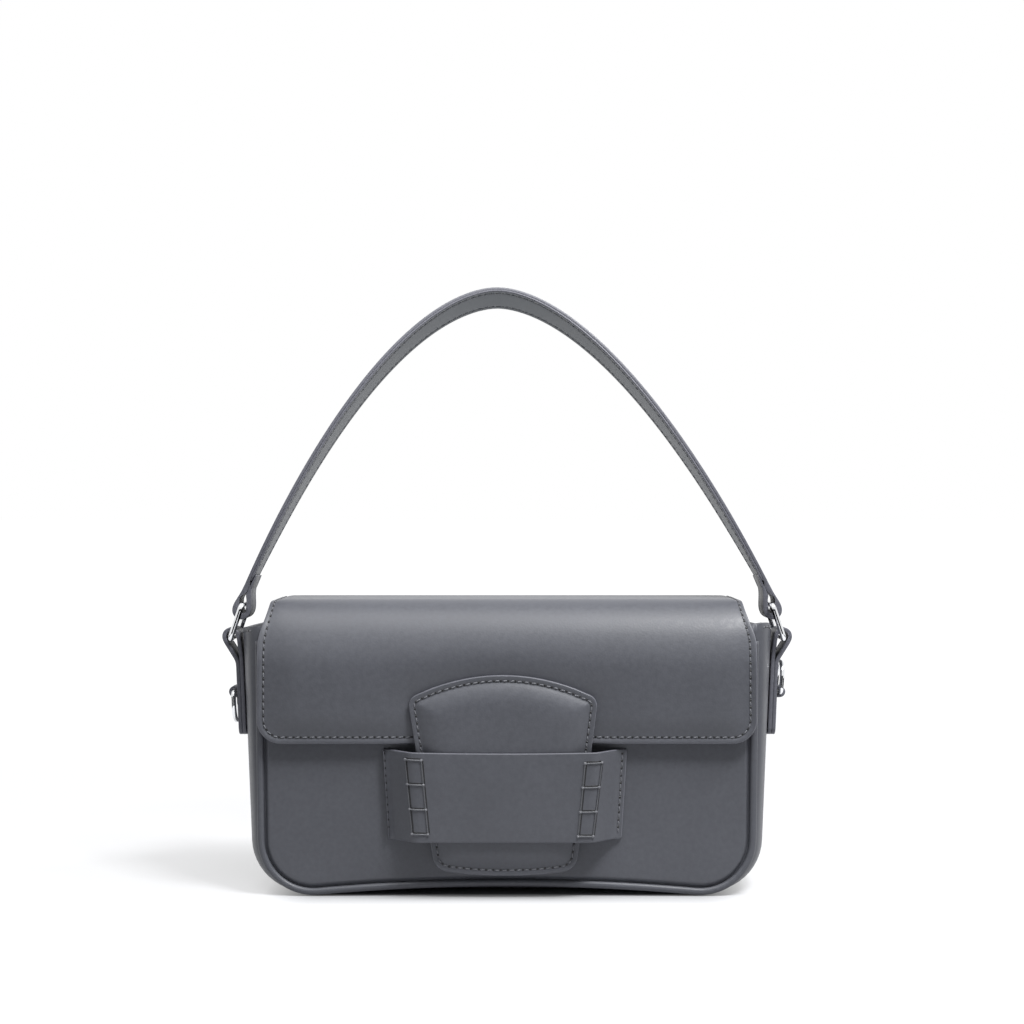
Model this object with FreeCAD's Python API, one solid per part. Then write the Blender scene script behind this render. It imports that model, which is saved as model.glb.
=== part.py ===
# Baguette bag with a flap, a tuck-in closure tab and one short handle.
# Millimetres. Origin on the floor under the middle of the body, X right, Y back, Z up.
import math
import os

import FreeCAD
import Part

Vector = FreeCAD.Vector

# Clearances
sewn_gap = 0.1
loose_gap = 0.3

# Body
body_depth = 70.0
mouth_height = 139.0
front_mouth_clearance = 2.0
seam_half_width_top = 128.8
seam_half_width_base = 126.0
seam_corner_radius = 24.0
seam_lift = 3.6
seam_arch = 5.8
panel_thickness = 2.0
gusset_thickness = 2.0
gusset_bulge_top = 12.4
gusset_bulge_base = 9.6
gusset_top_dip = 2.0
base_flat_depth = 0.6
piping_radius = 1.9
piping_proud = 0.7
stiffener_thickness = 1.0
stiffener_inset = 9.0
lining_thickness = 0.8
base_board_thickness = 1.6
base_board_depth = 36.0
base_board_end_margin = 4.0
pocket_width = 124.0
pocket_height = 68.0
pocket_drop = 27.0

# Flap
flap_leather_thickness = 2.0
flap_lining_thickness = 1.2
flap_side_overhang = 0.2
flap_rise = 14.0
flap_drop = 73.5
flap_corner_radius = 12.5
flap_front_fold = 24.0
flap_front_gap = 0.6
flap_lining_margin = 1.0

# Closure tab and band
closure_centre = -1.5
tab_overlap = 35.5
tab_length = 103.0
tab_dome = 12.0
tab_shoulder_width = 98.0
tab_foot_width = 70.0
tab_foot_sag = 3.0
tab_upper_corner_radius = 6.0
tab_lower_corner_radius = 9.0
tab_backing_thickness = 1.5
tab_padding_thickness = 3.0
tab_leather_thickness = 2.0
tab_rim_thickness = 1.5
tab_rim_width = 5.0
tab_crown_slope = 4.5
band_width = 46.5
band_flap_gap = 3.0
band_side_room = 2.2
band_ramp_length = 10.5
band_sewn_length = 4.5
band_thickness = 2.0
band_bend_radius = 4.0

# Side tabs
side_tab_thickness = 2.1
side_tab_width = 18.0
side_tab_length = 40.0
side_tab_corner_radius = 5.0
side_tab_fold_length = 13.0
side_tab_loop_drop = 6.0
side_tab_loop_offset = 6.4
side_tab_loop_radius = 5.0

# Rings
ring_wire_radius = 1.5
ring_length = 19.0
ring_lean_degrees = 18.4
ring_corner_radius = 3.0
ring_side_gap = 3.0
ring_play = 0.65
ring_slot_half_length = 1.3

# Handle
strap_layer_thickness = 1.6
strap_lining_thickness = 1.2
strap_width = 22.0
strap_end_width = 18.0
strap_widening_share = 0.25
strap_rise = 163.5
strap_apex_shift = -5.6
strap_apex_tilt_degrees = 19.3
strap_tilt_power = 0.68
strap_apex_lean = 26.6
strap_curve_power = 1.79
strap_fold_back_length = 8.0
strap_lining_start = 4.5
strap_section_pitch = 11.6
handle_loop_length = 9.4
handle_loop_lean_in = 2.6
handle_loop_radius = 5.0
handle_loop_drop = 2.4
handle_play = 0.8
handle_slot_half_length = 2.2

# D-rings and their keepers
d_ring_wire_radius = 1.25
d_ring_length = 15.75
d_ring_width = 17.5
d_ring_corner_radius = 2.5
d_ring_running_gap = 0.3
d_ring_face_gap = 0.45
d_ring_head_room = 0.2
d_ring_raised_lean_degrees = 2.7
keeper_thickness = 1.5
keeper_width = 10.0

# Sizes that follow
half_depth = body_depth / 2
piping_centre_depth = half_depth + piping_proud - piping_radius
gusset_half_depth = piping_centre_depth - piping_radius - sewn_gap
panel_inner_depth = half_depth - panel_thickness
stiffener_inner_depth = panel_inner_depth - stiffener_thickness
lining_outer_depth = stiffener_inner_depth - sewn_gap
lining_inner_depth = lining_outer_depth - lining_thickness
panel_inset = piping_radius + sewn_gap
lining_inset = gusset_thickness + loose_gap
flap_half_width = seam_half_width_top + flap_side_overhang
flap_top_height = mouth_height + flap_rise
flap_lower_edge = flap_top_height - flap_drop
flap_thickness = flap_leather_thickness + flap_lining_thickness
flap_inner_depth = half_depth + piping_proud + flap_front_gap
flap_outer_depth = flap_inner_depth + flap_thickness
flap_bead_radius = flap_thickness / 2
flap_rear_depth = half_depth + loose_gap + flap_thickness
hinge_depth = half_depth + loose_gap + flap_bead_radius
hinge_height = mouth_height + flap_bead_radius + loose_gap
flap_rear_fold = flap_top_height - hinge_height
fold_reach = half_depth + piping_proud - (flap_outer_depth - flap_front_fold)
fold_inner_radius = flap_front_fold - flap_thickness
front_mouth_height = (
    flap_top_height
    - flap_front_fold
    + math.sqrt(fold_inner_radius ** 2 - fold_reach ** 2)
    - front_mouth_clearance
)
tab_apex_height = flap_lower_edge + tab_overlap
tab_shoulder_height = tab_apex_height - tab_dome
tab_foot_height = tab_apex_height - tab_length + tab_foot_sag
tab_shoulder_half_width = tab_shoulder_width / 2
tab_foot_half_width = tab_foot_width / 2
tab_back_depth = flap_outer_depth + sewn_gap
tab_middle_depth = tab_back_depth + tab_backing_thickness
tab_front_depth = tab_middle_depth + tab_padding_thickness + tab_leather_thickness
band_inner_depth = tab_front_depth + loose_gap
band_upper_edge = flap_lower_edge - band_flap_gap
band_lower_edge = band_upper_edge - band_width
tab_side_slope = (tab_shoulder_width - tab_foot_width) / 2
tab_side_slope /= tab_shoulder_height - tab_foot_height
band_flat_half_length = (
    tab_foot_half_width
    + tab_side_slope * (band_upper_edge - tab_foot_height)
    + band_side_room
)
base_board_half_depth = base_board_depth / 2
base_board_half_length = seam_half_width_base - seam_corner_radius - base_board_end_margin
side_tab_loop_height = mouth_height - side_tab_loop_drop
side_tab_throat_height = side_tab_loop_height - side_tab_fold_length
side_tab_lower_end = side_tab_throat_height - side_tab_length


def point(x, z, y=0.0):
    return Vector(x, y, z)


def line(start, end):
    return Part.LineSegment(start, end).toShape()


def arc(start, middle, end):
    return Part.Arc(start, middle, end).toShape()


def block(low, high):
    size = high.sub(low)
    return Part.makeBox(size.x, size.y, size.z, low)


def mirrored(shape):
    return shape.mirror(Vector(0, 0, 0), Vector(1, 0, 0))


# Seam line of a panel, and of the gusset at any share of its bulge


def seam_points(share, inset, top, base_rise=0.0):
    half_top = seam_half_width_top + share * gusset_bulge_top
    half_base = seam_half_width_base + share * gusset_bulge_base
    low = seam_lift * (1 - share) + (base_rise - base_flat_depth) * share
    arch = seam_arch * (1 - share)
    slope = (half_top - half_base) / mouth_height
    lean = math.atan(slope)
    radius = seam_corner_radius
    span = half_base - radius
    centre_z = low + radius
    centre_x = half_base + slope * centre_z - radius / math.cos(lean)
    to_base = Vector(0, 0, -1)
    if arch > 0.01:
        base_radius = (span * span + arch * arch) / (2 * arch)
        base_centre = low + arch - base_radius
        for _ in range(20):
            reach = base_radius + radius
            centre_z = base_centre + math.sqrt(reach * reach - centre_x * centre_x)
            centre_x = half_base + slope * centre_z - radius / math.cos(lean)
        to_base = point(0, base_centre).sub(point(centre_x, centre_z)).normalize()
    centre = point(centre_x, centre_z)
    to_side = point(math.cos(lean), -math.sin(lean))
    to_corner = to_side.add(to_base).normalize()
    reach = radius - inset
    return {
        "top": point(half_base + slope * top - inset / math.cos(lean), top),
        "side": centre.add(Vector(to_side).multiply(reach)),
        "corner": centre.add(Vector(to_corner).multiply(reach)),
        "base": centre.add(Vector(to_base).multiply(reach)),
        "middle": point(0, low + arch + inset),
        "flat": arch <= 0.01,
    }


def across(place):
    return Vector(-place.x, place.y, place.z)


def seam_edges(points):
    left_base = across(points["base"])
    if points["flat"]:
        base = line(left_base, points["base"])
    else:
        base = arc(left_base, points["middle"], points["base"])
    return [
        line(across(points["top"]), across(points["side"])),
        arc(across(points["side"]), across(points["corner"]), left_base),
        base,
        arc(points["base"], points["corner"], points["side"]),
        line(points["side"], points["top"]),
    ]


def at_depth(shape, depth):
    return shape.translated(Vector(0, depth, 0))


def panel_plate(inset, top, near, far):
    points = seam_points(0.0, inset, top)
    edges = seam_edges(points) + [line(points["top"], across(points["top"]))]
    face = at_depth(Part.Face(Part.Wire(edges)), near)
    return face.extrude(Vector(0, far - near, 0))


def band_section(share, outer_inset, inner_inset, top, depth, base_rise):
    outer = seam_points(share, outer_inset, top, base_rise)
    inner = seam_points(share, inner_inset, top, base_rise)
    edges = seam_edges(outer)
    edges.append(line(outer["top"], inner["top"]))
    edges += list(reversed(seam_edges(inner)))
    edges.append(line(across(inner["top"]), across(outer["top"])))
    return at_depth(Part.Wire(edges), depth)


def bulged_band(outer_inset, inner_inset, reach, base_rise=0.0):
    sections = []
    for station in range(-4, 5):
        angle = station * math.pi / 8
        share = math.cos(angle)
        top = mouth_height - gusset_top_dip * share
        depth = reach * math.sin(angle)
        sections.append(
            band_section(share, outer_inset, inner_inset, top, depth, base_rise)
        )
    return Part.makeLoft(sections, True, True)


# Body pieces


def make_gusset():
    band = bulged_band(0.0, gusset_thickness, gusset_half_depth)
    under = block(
        Vector(-2 * seam_half_width_top, -body_depth, -body_depth),
        Vector(2 * seam_half_width_top, body_depth, 0),
    )
    return band.cut(under)


def make_front_panel():
    return panel_plate(
        panel_inset, front_mouth_height, -half_depth, -panel_inner_depth
    )


def make_rear_panel():
    return panel_plate(panel_inset, mouth_height, panel_inner_depth, half_depth)


def round_bar(edges, radius):
    runs = []
    for edge in edges:
        start = edge.valueAt(edge.FirstParameter)
        direction = edge.tangentAt(edge.FirstParameter)
        if isinstance(edge.Curve, Part.Circle):
            disc = Part.Face(Part.Wire(Part.makeCircle(radius, start, direction)))
            turn = math.degrees(edge.LastParameter - edge.FirstParameter)
            runs.append(disc.revolve(edge.Curve.Center, edge.Curve.Axis, turn))
        else:
            runs.append(Part.makeCylinder(radius, edge.Length, start, direction))
    return runs[0].fuse(runs[1:]).removeSplitter()


def make_piping(depth, top):
    edges = seam_edges(seam_points(0.0, 0.0, top))
    return at_depth(round_bar(edges, piping_radius), depth)


def make_stiffener(top):
    return panel_plate(
        stiffener_inset,
        top - stiffener_inset,
        stiffener_inner_depth,
        panel_inner_depth,
    )


def make_lining_plate(top):
    return panel_plate(lining_inset, top, lining_inner_depth, lining_outer_depth)


def to_front(shape):
    return shape.mirror(Vector(0, 0, 0), Vector(0, 1, 0))


def board_underside():
    share = math.sqrt(1 - (base_board_half_depth / gusset_half_depth) ** 2)
    low = (seam_lift + seam_arch) * (1 - share) - base_flat_depth * share
    return low + gusset_thickness + loose_gap


def make_base_board():
    under = board_underside()
    return block(
        Vector(-base_board_half_length, -base_board_half_depth, under),
        Vector(
            base_board_half_length, base_board_half_depth, under + base_board_thickness
        ),
    )


def make_lining_gusset():
    board_top = board_underside() + base_board_thickness
    rise = board_top + loose_gap - (lining_inset - base_flat_depth)
    return bulged_band(
        lining_inset, lining_inset + lining_thickness, lining_inner_depth, rise
    )


def make_slip_pocket():
    back = lining_inner_depth - sewn_gap
    top = mouth_height - pocket_drop
    return block(
        Vector(-pocket_width / 2, back - lining_thickness, top - pocket_height),
        Vector(pocket_width / 2, back, top),
    )


def make_closure_band():
    back = -half_depth
    front = -band_inner_depth
    foot = band_flat_half_length + band_ramp_length
    end = foot + band_sewn_length
    lean = math.atan2(band_inner_depth - half_depth, band_ramp_length)
    widen = band_thickness * math.tan(lean / 2)
    half = [
        Vector(end, back, 0),
        Vector(foot, back, 0),
        Vector(band_flat_half_length, front, 0),
        Vector(band_flat_half_length + widen, front - band_thickness, 0),
        Vector(foot + widen, back - band_thickness, 0),
        Vector(end, back - band_thickness, 0),
    ]
    inner = half[:3]
    outer = half[3:]
    left_inner = [across(place) for place in reversed(inner)]
    left_outer = [across(place) for place in reversed(outer)]
    outline = inner + left_inner + left_outer + outer
    face = Part.Face(Part.makePolygon(outline + [outline[0]]))
    strip = face.extrude(Vector(0, 0, band_width))

    def bend_edges(places):
        return [
            edge
            for edge in strip.Edges
            for place in places
            if edge.BoundBox.ZLength > band_width / 2
            and abs(abs(edge.CenterOfMass.x) - place.x) < sewn_gap
            and abs(edge.CenterOfMass.y - place.y) < sewn_gap
        ]

    hollow_bends = bend_edges([half[2], half[4]])
    strip = strip.makeFillet(band_bend_radius, hollow_bends)
    round_bends = bend_edges([half[1], half[3]])
    strip = strip.makeFillet(band_bend_radius + band_thickness, round_bends)
    return strip.translated(Vector(closure_centre, 0, band_lower_edge))


# Leather loops, drawn as the hull of a large and a small circle in the XZ plane


def two_circle_hull(big_centre, big_radius, small_centre, small_radius):
    along = small_centre.sub(big_centre)
    distance = along.Length
    along.normalize()
    aside = Vector(-along.z, 0, along.x)
    sine = (big_radius - small_radius) / distance
    cosine = math.sqrt(1 - sine * sine)

    def edge_point(centre, radius, side):
        step = Vector(along).multiply(sine).add(Vector(aside).multiply(side * cosine))
        return centre.add(step.multiply(radius))

    big_end = big_centre.sub(Vector(along).multiply(big_radius))
    small_end = small_centre.add(Vector(along).multiply(small_radius))
    edges = [
        arc(
            edge_point(big_centre, big_radius, 1),
            big_end,
            edge_point(big_centre, big_radius, -1),
        ),
        line(
            edge_point(big_centre, big_radius, -1),
            edge_point(small_centre, small_radius, -1),
        ),
        arc(
            edge_point(small_centre, small_radius, -1),
            small_end,
            edge_point(small_centre, small_radius, 1),
        ),
        line(
            edge_point(small_centre, small_radius, 1),
            edge_point(big_centre, big_radius, 1),
        ),
    ]
    return Part.Face(Part.Wire(edges))


def slot(centre, axis, radius, half_length):
    reach = Vector(axis).multiply(half_length)
    return two_circle_hull(centre.add(reach), radius, centre.sub(reach), radius)


def across_width(face, width):
    return at_depth(face, -width / 2).extrude(Vector(0, width, 0))


def gusset_side(height):
    half_top = seam_half_width_top + gusset_bulge_top
    half_base = seam_half_width_base + gusset_bulge_base
    return half_base + (half_top - half_base) * height / mouth_height


def side_tab_face(height, layers):
    return gusset_side(height) + loose_gap + layers * side_tab_thickness


side_tab_throat = point(
    side_tab_face(side_tab_throat_height, 1), side_tab_throat_height
)
side_tab_loop = point(
    gusset_side(side_tab_loop_height) + side_tab_loop_offset, side_tab_loop_height
)
side_tab_axis = side_tab_loop.sub(side_tab_throat).normalize()
ring_lower_bar = side_tab_loop.sub(Vector(side_tab_axis).multiply(ring_wire_radius))
ring_direction = point(
    -math.sin(math.radians(ring_lean_degrees)),
    math.cos(math.radians(ring_lean_degrees)),
)
ring_upper_bar = ring_lower_bar.add(Vector(ring_direction).multiply(ring_length))


def make_side_tab():
    strip = Part.Face(
        Part.makePolygon(
            [
                point(side_tab_face(side_tab_lower_end, 0), side_tab_lower_end),
                point(side_tab_face(side_tab_throat_height, 0), side_tab_throat_height),
                point(side_tab_face(side_tab_throat_height, 2), side_tab_throat_height),
                point(side_tab_face(side_tab_lower_end, 2), side_tab_lower_end),
                point(side_tab_face(side_tab_lower_end, 0), side_tab_lower_end),
            ]
        )
    )
    strip = across_width(strip, side_tab_width)
    lower_edges = []
    for edge in strip.Edges:
        low = edge.BoundBox.ZMax < side_tab_lower_end + sewn_gap
        if low and edge.BoundBox.YLength < sewn_gap:
            lower_edges.append(edge)
    strip = strip.makeFillet(side_tab_corner_radius, lower_edges)
    outside = two_circle_hull(
        side_tab_loop, side_tab_loop_radius, side_tab_throat, side_tab_thickness
    )
    hole = slot(
        ring_lower_bar, side_tab_axis, ring_wire_radius + ring_play, ring_slot_half_length
    )
    whole = strip.fuse(across_width(outside, side_tab_width))
    return whole.cut(across_width(hole, 2 * side_tab_width)).removeSplitter()


# Wire rings, drawn in the plane of Y and one upward direction


def make_ring():
    half_width = strap_end_width / 2 + ring_side_gap + ring_wire_radius
    radius = ring_corner_radius
    inner = radius * (1 - math.sqrt(0.5))

    def place(along_y, upward):
        base = ring_lower_bar.add(Vector(0, along_y, 0))
        return base.add(Vector(ring_direction).multiply(upward))

    wide = half_width - radius
    high = ring_length - radius
    edges = [
        line(place(0, 0), place(wide, 0)),
        arc(
            place(wide, 0), place(half_width - inner, inner), place(half_width, radius)
        ),
        line(place(half_width, radius), place(half_width, high)),
        arc(
            place(half_width, high),
            place(half_width - inner, ring_length - inner),
            place(wide, ring_length),
        ),
        line(place(wide, ring_length), place(-wide, ring_length)),
        arc(
            place(-wide, ring_length),
            place(-half_width + inner, ring_length - inner),
            place(-half_width, high),
        ),
        line(place(-half_width, high), place(-half_width, radius)),
        arc(
            place(-half_width, radius),
            place(-half_width + inner, inner),
            place(-wide, 0),
        ),
        line(place(-wide, 0), place(0, 0)),
    ]
    return round_bar(edges, ring_wire_radius)


# D-rings in their leather keepers on the side tabs

d_ring_height = (
    side_tab_throat_height - d_ring_length - d_ring_wire_radius - d_ring_head_room
)
d_ring_bar = point(
    side_tab_face(d_ring_height, 2) + d_ring_face_gap + d_ring_wire_radius,
    d_ring_height,
)


def make_d_ring(direction):
    half_width = d_ring_width / 2
    radius = d_ring_corner_radius
    inner = radius * (1 - math.sqrt(0.5))
    bow_start = d_ring_length - half_width

    def place(along_y, outward):
        base = d_ring_bar.add(Vector(0, along_y, 0))
        return base.add(Vector(direction).multiply(outward))

    wide = half_width - radius
    edges = [
        line(place(0, 0), place(wide, 0)),
        arc(
            place(wide, 0), place(half_width - inner, inner), place(half_width, radius)
        ),
        line(place(half_width, radius), place(half_width, bow_start)),
        arc(
            place(half_width, bow_start),
            place(0, d_ring_length),
            place(-half_width, bow_start),
        ),
        line(place(-half_width, bow_start), place(-half_width, radius)),
        arc(
            place(-half_width, radius),
            place(-half_width + inner, inner),
            place(-wide, 0),
        ),
        line(place(-wide, 0), place(0, 0)),
    ]
    return round_bar(edges, d_ring_wire_radius)


def make_keeper():
    inner_radius = d_ring_wire_radius + d_ring_running_gap
    outer_radius = inner_radius + keeper_thickness
    upper_face = side_tab_face(d_ring_height + outer_radius, 2)
    lower_face = side_tab_face(d_ring_height - outer_radius, 2)
    root_x = max(upper_face, lower_face) + sewn_gap

    def lobe(radius, root):
        top = d_ring_bar.add(point(0, radius))
        low = d_ring_bar.add(point(0, -radius))
        front = d_ring_bar.add(point(radius, 0))
        upper_root = point(root, top.z)
        lower_root = point(root, low.z)
        edges = [
            line(upper_root, top),
            arc(top, front, low),
            line(low, lower_root),
            line(lower_root, upper_root),
        ]
        return Part.Face(Part.Wire(edges))

    outside = across_width(lobe(outer_radius, root_x), keeper_width)
    bore = across_width(lobe(inner_radius, root_x - outer_radius), 2 * keeper_width)
    return outside.cut(bore)


# Flap: a strip profile in the YZ plane, extruded across the bag


def flap_profile(outer_offset, inner_offset, start_angle, margin):
    def path(offset):
        front = -(flap_outer_depth - offset)
        top = flap_top_height - offset
        front_fold = flap_front_fold - offset
        rear_fold = flap_rear_fold - offset
        rear_centre = Vector(0, flap_rear_depth - flap_rear_fold, hinge_height)
        front_centre = Vector(0, front + front_fold, top - front_fold)

        def around(centre, radius, angle):
            step = Vector(0, math.cos(angle), math.sin(angle)).multiply(radius)
            return centre.add(step)

        upright = math.pi / 2
        rear_start = around(rear_centre, rear_fold, start_angle)
        rear_middle = around(rear_centre, rear_fold, (start_angle + upright) / 2)
        rear_end = around(rear_centre, rear_fold, upright)
        front_start = around(front_centre, front_fold, upright)
        front_middle = around(front_centre, front_fold, 1.5 * upright)
        front_end = around(front_centre, front_fold, 2 * upright)
        foot = Vector(0, front, flap_lower_edge + margin)
        return [
            arc(rear_start, rear_middle, rear_end),
            line(rear_end, front_start),
            arc(front_start, front_middle, front_end),
            line(front_end, foot),
        ]

    outer = path(outer_offset)
    inner = path(inner_offset)
    outer_start = outer[0].valueAt(outer[0].FirstParameter)
    inner_start = inner[0].valueAt(inner[0].FirstParameter)
    outer_end = outer[-1].valueAt(outer[-1].LastParameter)
    inner_end = inner[-1].valueAt(inner[-1].LastParameter)
    edges = outer + [line(outer_end, inner_end)]
    edges += list(reversed(inner)) + [line(inner_start, outer_start)]
    return Part.Face(Part.Wire(edges))


def flap_cut_outline(margin):
    half = flap_half_width - margin
    low = flap_lower_edge + margin
    high = 2 * flap_top_height
    radius = flap_corner_radius - margin
    inner = radius * (1 - math.sqrt(0.5))
    edges = [
        line(point(-half, high), point(-half, low + radius)),
        arc(
            point(-half, low + radius),
            point(-half + inner, low + inner),
            point(-half + radius, low),
        ),
        line(point(-half + radius, low), point(half - radius, low)),
        arc(
            point(half - radius, low),
            point(half - inner, low + inner),
            point(half, low + radius),
        ),
        line(point(half, low + radius), point(half, high)),
        line(point(half, high), point(-half, high)),
    ]
    return across_width(Part.Face(Part.Wire(edges)), 4 * body_depth)


def flap_layer(outer_offset, inner_offset, start_angle, margin):
    face = flap_profile(outer_offset, inner_offset, start_angle, margin)
    strip = face.translated(Vector(-flap_half_width, 0, 0))
    strip = strip.extrude(Vector(2 * flap_half_width, 0, 0))
    return strip.common(flap_cut_outline(margin))


def make_flap():
    layer = flap_layer(0.0, flap_leather_thickness, 0.0, 0.0)
    bead = Part.makeCylinder(
        flap_bead_radius,
        2 * flap_half_width,
        Vector(-flap_half_width, hinge_depth, hinge_height),
        Vector(1, 0, 0),
    )
    return layer.fuse(bead).removeSplitter()


def make_flap_lining():
    start_rise = flap_bead_radius + loose_gap
    start_angle = math.asin(start_rise / (flap_rear_fold - flap_thickness))
    return flap_layer(
        flap_leather_thickness, flap_thickness, start_angle, flap_lining_margin
    )


# Closure tab: leather over padding over a backing, all to one outline


def tab_outline():
    shoulder = tab_shoulder_half_width
    foot = tab_foot_half_width
    edges = [
        arc(
            point(-shoulder, tab_shoulder_height),
            point(0, tab_apex_height),
            point(shoulder, tab_shoulder_height),
        ),
        line(point(shoulder, tab_shoulder_height), point(foot, tab_foot_height)),
        arc(
            point(foot, tab_foot_height),
            point(0, tab_foot_height - tab_foot_sag),
            point(-foot, tab_foot_height),
        ),
        line(point(-foot, tab_foot_height), point(-shoulder, tab_shoulder_height)),
    ]
    plate = Part.Face(Part.Wire(edges)).extrude(Vector(0, tab_leather_thickness, 0))
    half = tab_leather_thickness / 2
    corners = [edge for edge in plate.Edges if edge.BoundBox.YLength > half]
    middle_height = (tab_foot_height + tab_shoulder_height) / 2
    upper = [edge for edge in corners if edge.BoundBox.ZMin > middle_height]
    plate = plate.makeFillet(tab_upper_corner_radius, upper)
    corners = [edge for edge in plate.Edges if edge.BoundBox.YLength > half]
    lower = [edge for edge in corners if edge.BoundBox.ZMax < middle_height]
    plate = plate.makeFillet(tab_lower_corner_radius, lower)
    front = min(plate.Faces, key=lambda face: face.CenterOfMass.y)
    return front.OuterWire.translated(Vector(closure_centre, 0, 0))


def tab_plate(inset, near, far):
    wire = tab_outline()
    if inset > 0:
        wire = wire.makeOffset2D(-inset)
    face = at_depth(Part.Face(wire), near)
    return face.extrude(Vector(0, far - near, 0))


def tab_crown(near_inset, far_inset, near, far):
    wire = tab_outline()
    near_wire = at_depth(wire.makeOffset2D(-near_inset), near)
    far_wire = at_depth(wire.makeOffset2D(-far_inset), far)
    return Part.makeLoft([near_wire, far_wire], True, True)


def padding_shape():
    slope = tab_crown_slope * tab_padding_thickness
    slope /= tab_padding_thickness + tab_leather_thickness - tab_rim_thickness
    near_inset = tab_rim_width + tab_leather_thickness
    return tab_crown(
        near_inset,
        near_inset + slope,
        -tab_middle_depth,
        -tab_middle_depth - tab_padding_thickness,
    )


def make_closure_tab():
    rim_front = tab_middle_depth + tab_rim_thickness
    rim = tab_plate(0.0, -tab_middle_depth, -rim_front)
    crown = tab_crown(
        tab_rim_width, tab_rim_width + tab_crown_slope, -rim_front, -tab_front_depth
    )
    return rim.fuse(crown).cut(padding_shape())


def make_tab_backing():
    return tab_plate(0.0, -tab_back_depth, -tab_middle_depth)


# Handle: sections of the strap along its arch, which leans back as it rises

strap_thickness = strap_layer_thickness + strap_lining_thickness
neck_thickness = strap_thickness + strap_layer_thickness + sewn_gap
handle_throat = ring_upper_bar.add(point(-handle_loop_lean_in, handle_loop_length))
strap_neck_half_width = handle_throat.x + neck_thickness / 2
strap_neck_height = handle_throat.z
strap_apex_height = strap_neck_height + strap_rise
strap_factor = strap_rise / strap_neck_half_width ** strap_curve_power


def strap_half_width_at(height):
    share = (strap_apex_height - height) / strap_factor
    return share ** (1 / strap_curve_power)


def strap_edge(x):
    height = strap_apex_height - strap_factor * abs(x) ** strap_curve_power
    share = max(0.0, (height - strap_neck_height) / strap_rise)
    tilt = share ** strap_tilt_power * math.tan(math.radians(strap_apex_tilt_degrees))
    lean = strap_apex_lean * share ** 2
    widening = 1 - max(0.0, 1 - share / strap_widening_share) ** 2
    width = strap_end_width + (strap_width - strap_end_width) * widening
    back = Vector(0, 1, -tilt).normalize()
    front = Vector(x + strap_apex_shift * share, lean - back.y * width / 2, height)
    return front, back, width


def strap_section(x, near, far):
    front, back, width = strap_edge(x)
    step = 0.01
    before = strap_edge(x - step)[0]
    after = strap_edge(x + step)[0]
    along = after.sub(before).normalize()
    outward = back.cross(along).normalize()
    if outward.z < 0:
        outward.multiply(-1)
    rear = front.add(Vector(back).multiply(width))
    corners = [
        front.sub(Vector(outward).multiply(near)),
        rear.sub(Vector(outward).multiply(near)),
        rear.sub(Vector(outward).multiply(far)),
        front.sub(Vector(outward).multiply(far)),
    ]
    return Part.makePolygon(corners + [corners[0]])


def strap_layer(start, end, near, far):
    pairs = max(1, round(abs(end - start) / strap_section_pitch / 2))
    count = 2 * pairs + 1
    sections = []
    for index in range(count):
        x = start + (end - start) * index / (count - 1)
        sections.append(strap_section(x, near, far))
    return Part.makeLoft(sections, True, False)


def make_handle_loop():
    loop = ring_upper_bar
    axis = handle_throat.sub(loop).normalize()
    foot = loop.sub(Vector(axis).multiply(handle_loop_drop))
    outside = two_circle_hull(
        foot, handle_loop_radius, handle_throat, neck_thickness / 2
    )
    hole = slot(loop, axis, ring_wire_radius + handle_play, handle_slot_half_length)
    whole = across_width(outside, strap_end_width)
    return whole.cut(across_width(hole, 2 * strap_end_width))


def make_handle_strap():
    neck = strap_neck_half_width
    fold_end = strap_half_width_at(strap_neck_height + strap_fold_back_length)
    strap = strap_layer(-neck, neck, 0.0, strap_layer_thickness)
    fold_near = strap_thickness + sewn_gap
    fold_far = neck_thickness
    right_fold = strap_layer(neck, fold_end, fold_near, fold_far)
    left_fold = strap_layer(-neck, -fold_end, fold_near, fold_far)
    loop = make_handle_loop()
    whole = strap.fuse([right_fold, left_fold, loop, mirrored(loop)])
    return whole.removeSplitter()


def make_handle_lining():
    end = strap_half_width_at(strap_neck_height + strap_lining_start)
    near = strap_layer_thickness + sewn_gap / 2
    return strap_layer(-end, end, near, strap_thickness)


# Writing the parts

tab_lean = math.atan2(gusset_side(mouth_height) - gusset_side(0), mouth_height)
raised_lean = tab_lean + math.radians(d_ring_raised_lean_degrees)
d_ring_hanging = point(-math.sin(tab_lean), -math.cos(tab_lean))
d_ring_raised = point(math.sin(raised_lean), math.cos(raised_lean))

makers = {
    "gusset": make_gusset,
    "front_panel": make_front_panel,
    "rear_panel": make_rear_panel,
    "front_piping": lambda: make_piping(-piping_centre_depth, front_mouth_height),
    "rear_piping": lambda: make_piping(piping_centre_depth, mouth_height),
    "front_stiffener": lambda: to_front(make_stiffener(front_mouth_height)),
    "rear_stiffener": lambda: make_stiffener(mouth_height),
    "base_board": make_base_board,
    "lining_front": lambda: to_front(make_lining_plate(front_mouth_height)),
    "lining_rear": lambda: make_lining_plate(mouth_height),
    "lining_gusset": make_lining_gusset,
    "slip_pocket": make_slip_pocket,
    "closure_band": make_closure_band,
    "side_tab_right": make_side_tab,
    "side_tab_left": lambda: mirrored(make_side_tab()),
    "keeper_right": make_keeper,
    "keeper_left": lambda: mirrored(make_keeper()),
    "ring_right": make_ring,
    "ring_left": lambda: mirrored(make_ring()),
    "d_ring_right": lambda: make_d_ring(d_ring_raised),
    "d_ring_left": lambda: mirrored(make_d_ring(d_ring_hanging)),
    "flap": make_flap,
    "flap_lining": make_flap_lining,
    "closure_tab": make_closure_tab,
    "tab_padding": padding_shape,
    "tab_backing": make_tab_backing,
    "handle_strap": make_handle_strap,
    "handle_lining": make_handle_lining,
}

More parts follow.
